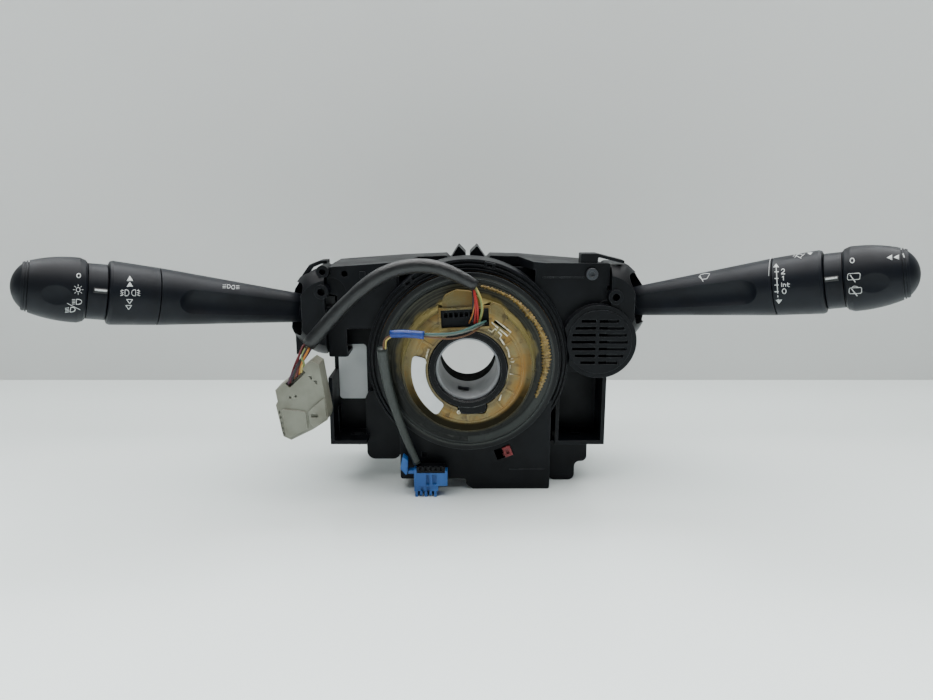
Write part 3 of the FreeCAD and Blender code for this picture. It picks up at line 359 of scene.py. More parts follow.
def speckled(name, look):
    # two colours that follow one noise, and a roughness and a bump that do where the look asks for it
    mat, tree, shader, place = newMaterial(name)
    speck = noise(tree, place, *look["noise"])
    mask = ramp(tree, speck, *look["spread"]) if "spread" in look else speck
    rough = look["rough"]
    dress(tree, shader, {"Base Color": mixed(tree, mask, rgb(look["color"]), rgb(look["color2"])),
                         "Roughness": ramp(tree, speck, *rough) if isinstance(rough, tuple) else rough,
                         **look.get("shader", {})})
    if "bump" in look:
        dress(tree, shader, {"Normal": bumped(tree, speck, *look["bump"])})
    return mat


# finishes of the CAD nodes, one for each material slot of the record
finishes = {
    # housing_black: its pale worn edges are partly real wear and partly painted highlight, edges made paler for light
    # catching them
    "housing_black": {"color": (11, 14, 19), "color2": (6, 8, 12), "rough": 0.4, "wear": 0.32, "dust": 0.018,
                      "grainStrength": 0.3, "specular": 0.17, "wearColor": (124, 128, 132)},
    "board_green": {"color": (28, 70, 48), "rough": 0.35, "dust": 0.1},
    "chip_black": {"color": (22, 22, 24), "rough": 0.4, "dust": 0.1},
    "pin_metal": {"color": (190, 175, 120), "rough": 0.3, "metallic": 1.0, "dust": 0.05},
    "screw_steel": {"color": (70, 72, 76), "rough": 0.34, "metallic": 0.9, "dust": 0.1, "wear": 0.6},
    "lock_red": {"color": (140, 26, 34), "color2": (110, 18, 26), "rough": 0.4, "dust": 0.15},
    "paper_white": {"color": (226, 229, 230), "color2": (212, 216, 217), "rough": 0.45, "dust": 0.12,
                    "dustColor": (160, 160, 150), "wear": 0.1, "grainStrength": 0.1},
    "hub_black": {"color": (8, 9, 11), "color2": (12, 13, 15), "rough": 0.26, "wear": 0.6, "dust": 0.015,
                  "specular": 0.13},
    "sleeve_grey": {"color": (150, 152, 155), "color2": (132, 134, 138), "rough": 0.38, "wear": 0.2, "dust": 0.1},
    "ribbon_brown": {"color": (120, 90, 50), "rough": 0.5},
    "magnet_ring": {"color": (60, 60, 62), "rough": 0.6},
    "plug_ivory": {"color": (131, 133, 120), "color2": (111, 110, 97), "rough": 0.48, "wear": 0.35, "dust": 0.5,
                   "dustColor": (96, 91, 76), "wearColor": (214, 213, 202), "grainStrength": 0.15,
                   "edgeRadius": 0.0005},
    "plug_blue": {"color": (38, 104, 178), "color2": (28, 84, 156), "rough": 0.4, "dust": 0.12,
                  "wearColor": (120, 170, 215)},
    "stalk_charcoal": {"color": (16, 20, 27), "color2": (11, 14, 20), "rough": 0.42, "wear": 0.14, "dust": 0.006,
                       "grainScale": 3400.0, "grainStrength": 0.42, "wearColor": (110, 114, 118), "edgeRadius": 0.0003,
                       "specular": 0.17},
    "pin_steel": {"color": (165, 166, 168), "rough": 0.25, "metallic": 1.0, "dust": 0.0},
    "hinge_plastic": {"color": (40, 41, 43), "rough": 0.5, "dust": 0.05},
    "lead_black": {"color": (45, 49, 52), "rough": 0.42},
    "wire_mixed": {"color": (110, 60, 45), "rough": 0.4},
    "sleeve_blue": {"color": (24, 66, 150), "rough": 0.35},
}


def polar(tree, place):
    # distance from the steering axis, angle about it, and the angle's cosine: 1 at the top and -1 at the bottom
    parts = put(tree, "ShaderNodeSeparateXYZ", {"Vector": place}).outputs
    flat = put(tree, "ShaderNodeCombineXYZ", {"X": parts["X"], "Z": parts["Z"]}).outputs["Vector"]
    far = put(tree, "ShaderNodeVectorMath", {0: flat}, operation="LENGTH").outputs["Value"]
    angle = sums(tree, "ARCTAN2", parts["X"], parts["Z"])
    return far, angle, sums(tree, "COSINE", angle)


def circled(tree, far, angle, fine, slow):
    # noise that is stretched round the axis, as turning marks and wiped grease are
    spot = put(tree, "ShaderNodeCombineXYZ", {"X": times(tree, far, fine), "Y": times(tree, angle, slow)})
    return noise(tree, spot.outputs["Vector"], 1.0, 4.0)


# the turning parts: distances from the steering axis are in metres, and angles in radians from the top
amberLook = {
    "color": (126, 114, 70), "greased": (134, 104, 42), "greasedAt": (0.38, 0.62), "grease": (95.0, 5.0, 0.62),
    "wiped": (150, 134, 80), "wipedAt": (0.5, 0.8, 0.0, 0.6), "rings": (900.0, 1.6),
    "smeared": (74, 58, 26), "smearedAt": (0.54, 0.7, 0.0, 0.8), "smear": (210.0, 4.0, 0.5, 0.8),
    "orange": (142, 100, 28), "orangeTurn": 1.9, "orangeReach": (1.15, 0.2, 0.0, 0.7), "orangeIn": (0.0235, 0.0255),
    "orangeOut": (0.029, 0.0272), "inner": (92, 84, 58), "innerAt": (0.0235, 0.0205, 0.0, 0.65),
    # painted shade: the dark rim at the disc's edge, stronger towards the bottom
    "rim": (24, 23, 17), "rimShadeAt": (0.0268, 0.0293), "rimShadeDrop": 0.0012, "rimShadeTurn": (0.3, -0.7, 0.35, 0.97),
    "edge": (190, 180, 138), "edgeRadius": 0.0003, "breakup": 0.3, "wear": 0.4, "dusty": (70, 64, 48), "dust": 0.15,
    "rough": (0.3, 0.7, 0.22, 0.5), "specular": (0.0, 1.0, 0.3, 0.02), "coat": (0.0, 1.0, 0.12, 0.0), "coatRough": 0.15,
    "bump": (0.5, 0.0003),
}


def amberFinish(look):
    # natural plastic under amber grease: an orange ring to the right and below, brown smears, wiped rings, and a dark
    # rim of painted shade, wider and darker towards the bottom
    mat, tree, shader, place = newMaterial("amberPlastic")
    far, angle, upness = polar(tree, place)
    wear, soft = worn(tree, place, look)
    dust = dusted(tree, place, look["dust"])
    grease = noise(tree, place, *look["grease"])
    smear = noise(tree, place, *look["smear"])
    rings = circled(tree, far, angle, *look["rings"])
    turned = ramp(tree, apart(tree, angle, look["orangeTurn"]), *look["orangeReach"])
    orange = times(tree, turned, times(tree, ramp(tree, far, *look["orangeIn"]), ramp(tree, far, *look["orangeOut"])))
    # painted shade: a dark rim at the disc's edge that reaches further in and is darker towards the bottom, and is also
    # made duller there
    lowered = sums(tree, "SUBTRACT", far, times(tree, upness, look["rimShadeDrop"]))
    rim = times(tree, ramp(tree, lowered, *look["rimShadeAt"]), ramp(tree, upness, *look["rimShadeTurn"]))
    color = layered(tree, rgb(look["color"]), [
        (ramp(tree, grease, *look["greasedAt"]), look["greased"]), (ramp(tree, rings, *look["wipedAt"]), look["wiped"]),
        (ramp(tree, smear, *look["smearedAt"]), look["smeared"]), (orange, look["orange"]),
        (ramp(tree, far, *look["innerAt"]), look["inner"]), (rim, look["rim"]),
        (wear, look["edge"]), (dust, look["dusty"])])
    dress(tree, shader, {"Base Color": color, "Roughness": ramp(tree, grease, *look["rough"]),
                         "Normal": bumped(tree, grease, *look["bump"], {"Normal": soft}),
                         "Specular IOR Level": ramp(tree, rim, *look["specular"]),
                         "Coat Weight": ramp(tree, rim, *look["coat"]), "Coat Roughness": look["coatRough"]})
    return mat


coverLook = {
    "dark": ((13, 15, 14), (38, 39, 33)), "pale": ((28, 30, 28), (66, 66, 56)), "lit": (-0.7, 0.6),
    "paleAt": (0.42, 0.6), "rings": (1500.0, 0.7), "film": (70.0, 5.0), "amber": (118, 108, 66),
    "amberReach": (0.3, 0.7, 0.0325, 0.036), "amberFade": (0.0012, -0.0006, 0.0, 0.85),
    "amberTurn": (-0.35, 0.35, 0.1, 1.0),
    "band": (64, 68, 66), "bandAt": (0.0372, 0.0384), "bandTurn": 2.3, "bandReach": (1.3, 0.6, 0.0, 0.7),
    "scuff": (92, 94, 88), "scuffs": (500.0, 5.0), "scuffAt": (0.6, 0.74, 0.0, 0.3),
    "rough": (0.3, 0.7, 0.2, 0.4), "specular": 0.12, "coat": 0.08, "coatRough": 0.12, "bump": (0.35, 0.0004),
}


def coverFinish(look):
    # smoky plastic over dark parts: turning rings, amber film on the upper half, a pale band near the rim to the right
    # and below, grey scuffs and a glossy coat
    mat, tree, shader, place = newMaterial("smokyCover")
    far, angle, upness = polar(tree, place)
    film = noise(tree, place, *look["film"])
    lit = ramp(tree, upness, *look["lit"])
    dark, pale = (mixed(tree, lit, rgb(low), rgb(high)) for low, high in (look["dark"], look["pale"]))
    color = mixed(tree, ramp(tree, circled(tree, far, angle, *look["rings"]), *look["paleAt"]), dark, pale)
    past = sums(tree, "SUBTRACT", far, ramp(tree, film, *look["amberReach"]))
    amber = times(tree, ramp(tree, past, *look["amberFade"]), ramp(tree, upness, *look["amberTurn"]))
    turned = ramp(tree, apart(tree, angle, look["bandTurn"]), *look["bandReach"])
    band = times(tree, ramp(tree, far, *look["bandAt"]), turned)
    scuff = ramp(tree, circled(tree, far, angle, *look["scuffs"]), *look["scuffAt"])
    color = layered(tree, color, [(amber, look["amber"]), (band, look["band"]), (scuff, look["scuff"])])
    dress(tree, shader, {"Base Color": color, "Roughness": ramp(tree, film, *look["rough"]),
                         "Normal": bumped(tree, film, *look["bump"]), "Specular IOR Level": look["specular"],
                         "Coat Weight": look["coat"], "Coat Roughness": look["coatRough"]})
    return mat


flangeLook = {
    "greys": ((40, 44, 44), (58, 60, 57)), "greyAt": (0.4, 0.62), "rings": (1100.0, 0.9), "black": (15, 17, 19),
    "blackAt": (0.0432, 0.0438), "edge": (110, 116, 116), "edgeRadius": 0.0004, "breakup": 0.3, "wear": 0.5,
    "dusty": (120, 122, 118), "dust": 0.06, "rough": (0.3, 0.7, 0.3, 0.42), "specular": 0.2,
}


def flangeFinish(look):
    # the turning flange: a grey inner edge, then near black, with worn edges and turning marks
    mat, tree, shader, place = newMaterial("flangePlastic")
    far, angle, _ = polar(tree, place)
    wear, soft = worn(tree, place, look)
    dust = dusted(tree, place, look["dust"])
    rings = circled(tree, far, angle, *look["rings"])
    color = layered(tree, rgb(look["greys"][0]), [
        (ramp(tree, rings, *look["greyAt"]), look["greys"][1]), (ramp(tree, far, *look["blackAt"]), look["black"]),
        (wear, look["edge"]), (dust, look["dusty"])])
    dress(tree, shader, {"Base Color": color, "Roughness": ramp(tree, rings, *look["rough"]), "Normal": soft,
                         "Specular IOR Level": look["specular"]})
    return mat


materials = {key: moulded(key, look) for key, look in finishes.items()}
materials["disc_amber"] = amberFinish(amberLook)
materials["cover_clear"] = coverFinish(coverLook)
materials["flange_grey"] = flangeFinish(flangeLook)
for part in frame["record"]["subparts"]:
    cadNode = nodes[part["node"]]
    cadNode.data.materials.clear()
    cadNode.data.materials.append(materials[part["material_slot"]])
print("finishes:", len(materials))

# leads, with the routes of part.py in millimetres; radii are given at shares of the lead's length

leads = {
    "mainSleeve": {"route": [(3.4, -15, 41), (-9, -17.5, 49), (-23.5, -18.2, 51.4), (-37.6, -17.2, 48.2),
                             (-50.6, -15.6, 39.4), (-64, -13.8, 26.6), (-76.5, -12.3, 12.3)],
                   "length": 0.0971, "diameter": 0.0068, "sides": 28, "flat": 1.0,
                   "shares": (0, 0.03, 0.12, 0.35, 0.6, 0.7, 0.76, 0.9, 1),
                   "radii": (2.6, 3, 3.25, 3.5, 3.65, 3.5, 3.2, 3.5, 3.45)},
    "mainTail": {"route": [(-76.9, -12.6, 11.5), (-79.2, -16, 7), (-81.5, -17.6, 1.8), (-82.9, -15.6, -3.3)],
                 "bunch": (2.08, 1.76, 1.12), "bunchTurn": (2.4, 2.4, 1.7), "slot": (7.9, 0.4, 7.4), "slotTurn": 3,
                 "radius": 0.55,
                 "colors": ("violet", "darkRed", "black", "brown", "darkRed", "orange", "yellow", "green")},
    "auxSleeve": {"route": [(-41.3, -12.8, 10.5), (-40.6, -9.4, -1.8), (-38.2, -7.4, -14.4), (-34.6, -6.4, -27),
                            (-30.6, -6, -38.8), (-25.8, -5.4, -51)],
                  "length": 0.0644, "diameter": 0.0046, "sides": 24, "flat": 0.8,
                  "shares": (0, 0.3, 0.6, 0.8, 1), "radii": (2.75, 2.5, 2.2, 2, 1.9)},
    "blueSleeve": {"route": [(-20.7, -19.6, 18.3), (-36.6, -19, 18.8)], "count": 14, "rise": 0.35, "sides": 20,
                   "flat": 1.0, "shares": (0, 0.2, 0.8, 1), "radii": (1.95, 1.8, 1.85, 1.7)},
}
creases = {"stretch": (0.35, 3.2, 3.2), "noise": (1.4, 5.0, 0.55), "spread": (0.35, 0.65), "roughAt": (0.3, 0.7),
           "roughVary": 0.14, "dustColor": (140, 140, 134), "bump": (0.6, 0.0004)}


def sleeveFinish(name, look):
    # shrunk sleeve: long fine creases that follow the lead, and a soft sheen; reads the tube's own place values
    mat, tree, shader, solid = newMaterial(name)
    place = put(tree, "ShaderNodeAttribute", attribute_name="tubePlace").outputs["Vector"]
    links = {0: place, 1: creases["stretch"]}
    stretched = put(tree, "ShaderNodeVectorMath", links, operation="MULTIPLY").outputs["Vector"]
    crease = noise(tree, stretched, *creases["noise"])
    layers = [(ramp(tree, crease, *creases["spread"]), look["color2"]),
              (dusted(tree, solid, look["dust"]), creases["dustColor"])]
    rough = ramp(tree, crease, *creases["roughAt"], look["rough"], look["rough"] + creases["roughVary"])
    dress(tree, shader, {"Base Color": layered(tree, rgb(look["color"]), layers), "Roughness": rough,
                         "Normal": bumped(tree, crease, *creases["bump"])})
    return mat


sleeveLooks = {
    "sleeveBlack": {"color": (11, 13, 15), "color2": (18, 20, 22), "rough": 0.34, "dust": 0.02},
    "sleeveGrey": {"color": (34, 40, 38), "color2": (48, 54, 51), "rough": 0.36, "dust": 0.05},
    "sleeveBlue": {"color": (14, 44, 116), "color2": (24, 64, 150), "rough": 0.28, "dust": 0.03},
}
sleeves = {key: sleeveFinish(key, look) for key, look in sleeveLooks.items()}
wireLook = {
    "rough": 0.36, "dust": 0.1, "duller": 0.86,
    "colors": {"red": (176, 38, 34), "darkRed": (96, 22, 30), "orange": (190, 120, 50), "yellow": (196, 176, 92),
               "green": (124, 138, 78), "teal": (66, 104, 98), "brown": (108, 72, 46), "black": (28, 28, 32),
               "grey": (110, 116, 108), "violet": (72, 34, 60)},
}
wireFinishes = {key: sleeveFinish("wire" + key.capitalize(), {**wireLook, "color": value,
                                                             "color2": tuple(wireLook["duller"] * v for v in value)})
                for key, value in wireLook["colors"].items()}


def putTube(name, path, radii, finish, sides=10, flat=1.0):
    points, faces, place = tubeParts(path, radii, sides, flat)
    return putMesh(name, points, faces, "rotor", finish, place=place)


def leadTube(name, path, lead, finish):
    radii = np.interp(np.linspace(0, 1, len(path)), lead["shares"], lead["radii"])
    return putTube(name, path, radii, sleeves[finish], lead["sides"], lead["flat"])


def shortPath(lead):
    # a straight run that rises a little at its middle, as the sine of its share
    first, last = np.array(lead["route"])
    share = np.linspace(0, 1, lead["count"])[:, None]
    path = first + (last - first) * share
    path[:, 2] += lead["rise"] * np.sin(np.pi * share[:, 0])
    return path


mainPath = routePoints(leads["mainSleeve"]["route"])
mainSleeve = leadTube("mainLeadSleeve", mainPath, leads["mainSleeve"], "sleeveBlack")
auxPath = routePoints(leads["auxSleeve"]["route"])
auxSleeve = leadTube("auxLeadSleeve", auxPath, leads["auxSleeve"], "sleeveGrey")
blueSleeve = leadTube("auxBlueSleeve", shortPath(leads["blueSleeve"]), leads["blueSleeve"], "sleeveBlue")

# wires: each has its finish, its radius, and points as (x, y in the picture, depth in millimetres)
hubWires = [
    ("red", 0.5, [(474.5, 323, -12.6), (475.8, 312, -16.2), (475.5, 303, -17.4), (474.5, 294, -17),
                  (472.5, 285, -15.4)]),
    ("red", 0.5, [(477.5, 322.5, -12.6), (478.2, 312, -16.6), (477, 303, -17.8), (475.2, 294, -17.2),
                  (473, 285.5, -15)]),
    ("orange", 0.32, [(469, 323, -12.6), (472.5, 316, -15.4), (474, 307, -16.6), (473.6, 297, -16.6),
                      (471.5, 286, -15.8)]),
    ("black", 0.5, [(472.5, 322.5, -12.4), (473, 311, -16), (473.4, 301, -16.8), (473, 292, -16.6),
                    (471.5, 284, -15)]),
    ("green", 0.5, [(478.6, 322.5, -12.6), (481.4, 316, -15.6), (482, 306, -17.6), (479.6, 296, -17.8),
                    (474, 286.5, -15.6)]),
    ("yellow", 0.42, [(480, 321, -12.6), (482.6, 313, -16), (482.4, 303, -17.6), (479, 293, -17.4),
                      (474.4, 284.8, -15)]),
]
linkWires = [
    ("teal", 0.55, [(486, 321, -12.6), (481.5, 322.6, -16.6), (473, 326.5, -19.2), (459, 332.5, -20),
                    (445, 334.3, -20.2), (423, 334, -19.6)]),
    ("grey", 0.5, [(484, 323.4, -12.6), (479, 326, -16.8), (470, 330, -19.4), (457, 334, -20.2), (443, 335.6, -20.2),
                   (423, 335.4, -19.6)]),
    ("brown", 0.45, [(481, 325.5, -12.8), (477, 330, -16.4), (467, 335.5, -19.2), (452, 339, -20.2),
                     (438, 338.4, -20.2), (423, 336.4, -19.6)]),
]
cornerWires = [
    ("brown", 0.42, [(392, 335.6, -19), (387, 337, -18.6), (383.2, 341.5, -16), (383.6, 350, -13)]),
    ("yellow", 0.38, [(392, 336.4, -19.2), (388, 338.6, -18.8), (385.2, 342, -16.4), (385.6, 350, -13.2)]),
]


def wireSet(prefix, wires):
    return [putTube(f"{prefix}{i + 1}", routePoints(atPixels(points)), radius, wireFinishes[color])
            for i, (color, radius, points) in enumerate(wires)]


def tailSet(tail):
    # the bare wires leave the sleeve in a bunch and spread into a row at the white plug
    path = routePoints(tail["route"])
    s = eased(np.linspace(0, 1, len(path)))[:, None]
    (bx, by, bz), (tx, ty, tz), slot = tail["bunch"], tail["bunchTurn"], tail["slot"]
    made = []
    for i, color in enumerate(tail["colors"]):
        share = i / (len(tail["colors"]) - 1) - 0.5
        start = np.array([bx * math.cos(tx * i), by * math.sin(ty * i), bz * math.sin(tz * i)])
        finish = np.array([slot[0] * share, slot[1] * math.sin(tail["slotTurn"] * i), slot[2] * share])
        made.append(putTube(f"plugWire{i + 1}", path + start * (1 - s) + finish * s, tail["radius"],
                            wireFinishes[color]))
    return made


rootWires = wireSet("hubWire", hubWires)
auxWires = wireSet("linkWire", linkWires)
midWires = wireSet("cornerWire", cornerWires)
tailWires = tailSet(leads["mainTail"])

for piece, node in ((mainSleeve, "main_lead_sleeve"), (rootWires[0], "main_lead_root"),
                    (tailWires[0], "main_lead_tail"), (auxSleeve, "aux_lead_sleeve"), (auxWires[0], "aux_lead_root"),
                    (midWires[0], "aux_lead_middle"), (blueSleeve, "aux_blue_sleeve")):
    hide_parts(node)
print("leads:", len(rootWires + tailWires + auxWires + midWires), "wires")

# painted shade: a dull black lining in the housing's column bore stands in for the shade there; a thin ring of square
# section turned about the steering axis
boreShadeRing = {"outer": 15.08, "inner": 14.85, "front": 20.5, "rear": 37.5, "sides": 96}
dullBlackLook = {"noise": (300.0, 3.0), "color": (6, 7, 8), "color2": (14, 15, 16), "rough": (0.3, 0.7, 0.75, 0.95),
              "shader": {"Specular IOR Level": 0.05}}


def turnedRing(r):
    # each (radius, depth) of the closed section goes once round the axis
    p = np.array([(r["outer"], r["front"]), (r["outer"], r["rear"]), (r["inner"], r["rear"]), (r["inner"], r["front"])])
    turn = np.linspace(0, 2 * np.pi, r["sides"], endpoint=False)
    points = np.stack([p[:, :1] * np.sin(turn), p[:, 1:] + 0 * turn, p[:, :1] * np.cos(turn)], 2).reshape(-1, 3)
    return points, gridFaces(len(p) + 1, r["sides"], True) % len(points)


boreShadePiece = putMesh("boreShadeRing", *turnedRing(boreShadeRing), "housing", speckled("boreShadeBlack", dullBlackLook), smooth=False)

# a dull black sheet close behind the slotted plate: a thin disc about the plate's own axis
grilleBlackSheet = {"x": 66.4, "z": 9.6, "radius": 14.7, "front": 7.95, "rear": 8.15, "sides": 72}


def blackSheetParts(g):
    # two circles of points, each with a centre point, joined by a band of quads
    turn = np.linspace(0, 2 * np.pi, g["sides"], endpoint=False)
    rim = np.stack([g["x"] + g["radius"] * np.sin(turn), 0 * turn, g["z"] + g["radius"] * np.cos(turn)], 1)
    front, rear = rim + [0, g["front"], 0], rim + [0, g["rear"], 0]
    n = g["sides"]
    j = np.arange(n)
    k = (j + 1) % n
    band = np.stack([j, j + n, k + n, k], 1).tolist()
    caps = np.stack([np.full(n, 2 * n), j, k], 1).tolist() + np.stack([np.full(n, 2 * n + 1), k + n, j + n], 1).tolist()
    return np.vstack([front, rear, [[g["x"], g["front"], g["z"]], [g["x"], g["rear"], g["z"]]]]), band + caps


grilleSheet = putMesh("grilleBlackSheet", *blackSheetParts(grilleBlackSheet), "housing", speckled("grilleSheetBlack", dullBlackLook), smooth=False)

# thin pale ribs that trim the disc round the hub, as (x, y in the picture) at the disc's front; loops are
# (x, y, radius)
hubTrim = {
    "depth": -13.25, "radius": 0.42, "flat": 0.7, "sides": 8,
    "lines": [
        [(488.1, 329.4), (491.9, 331.9), (495, 328.5), (501.5, 335), (500, 338.1), (503.8, 343.8), (508.1, 350),
         (509.4, 357.5)],
        [(510, 365), (508.1, 373.8), (505.6, 381.2)], [(508.1, 373.8), (513.1, 375)],
        [(500, 391.2), (495, 397.5)], [(501, 394.6), (499.4, 400.6)],
        [(493.8, 318), (511, 332.5), (507.5, 336), (492, 322.5), (493.8, 318)],
        [(428.5, 349), (426.5, 356), (425.8, 364)],
    ],
    "loops": [(512.5, 360.6, 1.5), (458.8, 412.2, 1.3)],
}
trimLook = {"noise": (700.0, 3.0), "spread": (0.4, 0.66), "color": (212, 208, 188), "color2": (172, 162, 124),
            "rough": (0.3, 0.7, 0.3, 0.5)}


def trimParts(t):
    lines = t["lines"] + [[(x + r * math.cos(a), y + r * math.sin(a)) for a in np.radians(np.arange(0, 361, 30))]
                          for x, y, r in t["loops"]]
    paths = [atPixels([(x, y, t["depth"]) for x, y in line]) for line in lines]
    return gather([tubeParts(path, t["radius"], t["sides"], t["flat"])[:2] for path in paths])


trim = putMesh("hubTrim", *trimParts(hubTrim), "rotor", speckled("trimPlastic", trimLook))
print("hub trim:", len(hubTrim["lines"]) + len(hubTrim["loops"]), "ribs")

# marks on the stalks, drawn at their places in the picture and laid on the turned surfaces

# stations along each stalk from its pivot and radii there, in millimetres, as in part.py
stalk = {"armStart": 21.4, "rootR": (6.5, 7.75), "armR": (13.3, 13.5), "neckR": 12.7, "lift": 0.04, "firstGuess": 100.0,
         "rounds": 14, "ringRootR": 13.5, "ringChamfer": (1.6, 0.4),
         "left": {"armEnd": 86.3, "ringStart": 86.6, "ringEnd": 108.2, "ringR": 14.7, "knobStart": 116.7},
         "right": {"armEnd": 84.9, "ringStart": 85.2, "ringEnd": 106.4, "ringR": 14.6, "knobStart": 114.3},
         "knobSide": ((3.2, 14.6), (14.5, 13.6), (25.1, 10.4)), "scoop": (15.0, 36.6, -3.4, 24.0)}


def arcRadius(v):
    # the knob's side is an arc through three points, each as far along the knob and its radius
    (x1, y1), (x2, y2), (x3, y3) = stalk["knobSide"]
    a = np.array([[2 * (x2 - x1), 2 * (y2 - y1)], [2 * (x3 - x1), 2 * (y3 - y1)]])
    b = np.array([x2 ** 2 - x1 ** 2 + y2 ** 2 - y1 ** 2, x3 ** 2 - x1 ** 2 + y3 ** 2 - y1 ** 2])
    cx, cy = np.linalg.solve(a, b)
    r = math.hypot(x1 - cx, y1 - cy)
    return cy + np.sqrt(np.maximum(r ** 2 - (v - cx) ** 2, 0.0))


def surfaceRadius(kind, side, u, turn):
    # the arm is a cone whose section is an ellipse; the others are round
    s, own = stalk, stalk[side]
    if kind == "knob":
        return arcRadius(np.clip(u - own["knobStart"], s["knobSide"][0][0], s["knobSide"][2][0]))
    if kind == "neck":
        return np.full_like(u, s["neckR"])
    if kind == "ring":
        along, inward = s["ringChamfer"]
        return np.interp(u, [own["ringStart"], own["ringEnd"] - along, own["ringEnd"]],
                         [s["ringRootR"], own["ringR"], own["ringR"] - inward])
    share = np.clip((u - s["armStart"]) / (own["armEnd"] - s["armStart"]), 0, 1)
    halfY = s["rootR"][0] + share * (s["armR"][0] - s["rootR"][0])
    halfZ = s["rootR"][1] + share * (s["armR"][1] - s["rootR"][1])
    return 1 / np.sqrt((np.cos(turn) / halfY) ** 2 + (np.sin(turn) / halfZ) ** 2)


def stalkFrame(side):
    # the stalk's own directions: along it, towards the driver, and up
    u = np.array(joints[side + "_knob_turn"]["axis"], float)
    u /= np.linalg.norm(u)
    pivot = np.array(joints[side + "_tilt"]["pos_m"], float) * 1000
    v = np.cross([0, 0, 1], u)
    v /= np.linalg.norm(v)
    v = v if v[1] < 0 else -v
    w = np.cross(u, v)
    w = w if w[2] > 0 else -w
    return pivot, np.stack([u, v, w], 1)


def ontoStalk(pixels, side, kind):
    # each pixel's ray meets the surface of turning; the radius there and the meeting point are found in turns
    pivot, basis = stalkFrame(side)
    rays = pixelRays(pixels) @ basis
    eye = (np.array(camera["place"]) - pivot) @ basis
    u = np.full(len(rays), stalk["firstGuess"])
    turn = np.zeros(len(rays))
    for _ in range(stalk["rounds"]):
        r = surfaceRadius(kind, side, u, turn) + stalk["lift"]
        a = rays[:, 1] ** 2 + rays[:, 2] ** 2
        b = eye[1] * rays[:, 1] + eye[2] * rays[:, 2]
        c = eye[1] ** 2 + eye[2] ** 2 - r ** 2
        reach = (-b - np.sqrt(np.maximum(b * b - a * c, 0))) / a
        found = eye + rays * reach[:, None]
        u = found[:, 0]
        turn = np.arctan2(found[:, 2], found[:, 1])
    if kind == "knob":
        # inside the finger scoop the ray goes on to the far side of the scoop's ball
        ball = np.array(stalk["scoop"][:3]) + [stalk[side]["knobStart"], 0, 0]
        off = eye - ball
        size = (rays ** 2).sum(1)
        half = (rays * off).sum(1)
        room = half ** 2 - size * ((off ** 2).sum() - (stalk["scoop"][3] - stalk["lift"]) ** 2)
        leave = (-half + np.sqrt(np.maximum(room, 0))) / size
        reach = np.where(room > 0, np.maximum(reach, leave), reach)
        found = eye + rays * reach[:, None]
    return pivot + found @ basis.T


def arcLine(cx, cy, rx, ry, a0=0.0, a1=360.0, count=24):
    a = np.radians(np.linspace(a0, a1, count))
    return np.stack([cx + rx * np.cos(a), cy + ry * np.sin(a)], 1)


# points are this far apart in pixels, and a filled triangle is a grid of this many rows that starts near its corner
drawn = {"step": 0.6, "rows": 5, "start": 0.001}


def strokeParts(points, width, side, kind):
    # a line of even width: its points are moved half the width to each side
    p = np.asarray(points, float)
    far = np.concatenate([[0], np.cumsum(np.hypot(*np.diff(p, axis=0).T))])
    count = max(2, int(far[-1] / drawn["step"]) + 1)
    at = np.unique(np.concatenate([np.linspace(0, far[-1], count), far]))
    p = np.stack([np.interp(at, far, p[:, 0]), np.interp(at, far, p[:, 1])], 1)
    along = np.gradient(p, axis=0)
    along /= np.hypot(along[:, 0], along[:, 1])[:, None]
    across = np.stack([-along[:, 1], along[:, 0]], 1) * width / 2
    edges = np.stack([p - across, p + across], 1).reshape(-1, 2)
    return ontoStalk(edges, side, kind), gridFaces(len(p), 2).tolist()


def fillParts(corners, side, kind):
    # a filled triangle as a fan of rows from its first corner
    a, b, c = np.asarray(corners, float)
    s = np.linspace(drawn["start"], 1, drawn["rows"])[:, None, None]
    t = np.linspace(0, 1, drawn["rows"])[None, :, None]
    grid = (a + s * ((b + t * (c - b)) - a)).reshape(-1, 2)
    return ontoStalk(grid, side, kind), gridFaces(drawn["rows"], drawn["rows"]).tolist()


def rays8(cx, cy, inner, outer, width):
    # eight short rays of a lamp or sun sign
    return [([(cx + r * math.cos(a), cy + r * math.sin(a)) for r in (inner, outer)], width)
            for a in np.radians(np.arange(8) * 45)]


def lamp(x, y, w, h, skew=0.0):
    # the D of a lamp sign, flat side at x and bulging by w
    top = [(x + skew, y - h), (x + skew + w * 0.35, y - h)]
    bulge = [(x + w * (0.35 + 0.65 * math.cos(a)) - skew * math.sin(a), y + h * math.sin(a))
             for a in np.radians(np.linspace(-80, 80, 9))]
    low = [(x - skew + w * 0.35, y + h), (x - skew, y + h), (x + skew, y - h)]
    return top + bulge + low


def bars(x0, x1, ys, width, slant=0.0):
    return [([(x0, y + slant), (x1, y)], width) for y in ys]


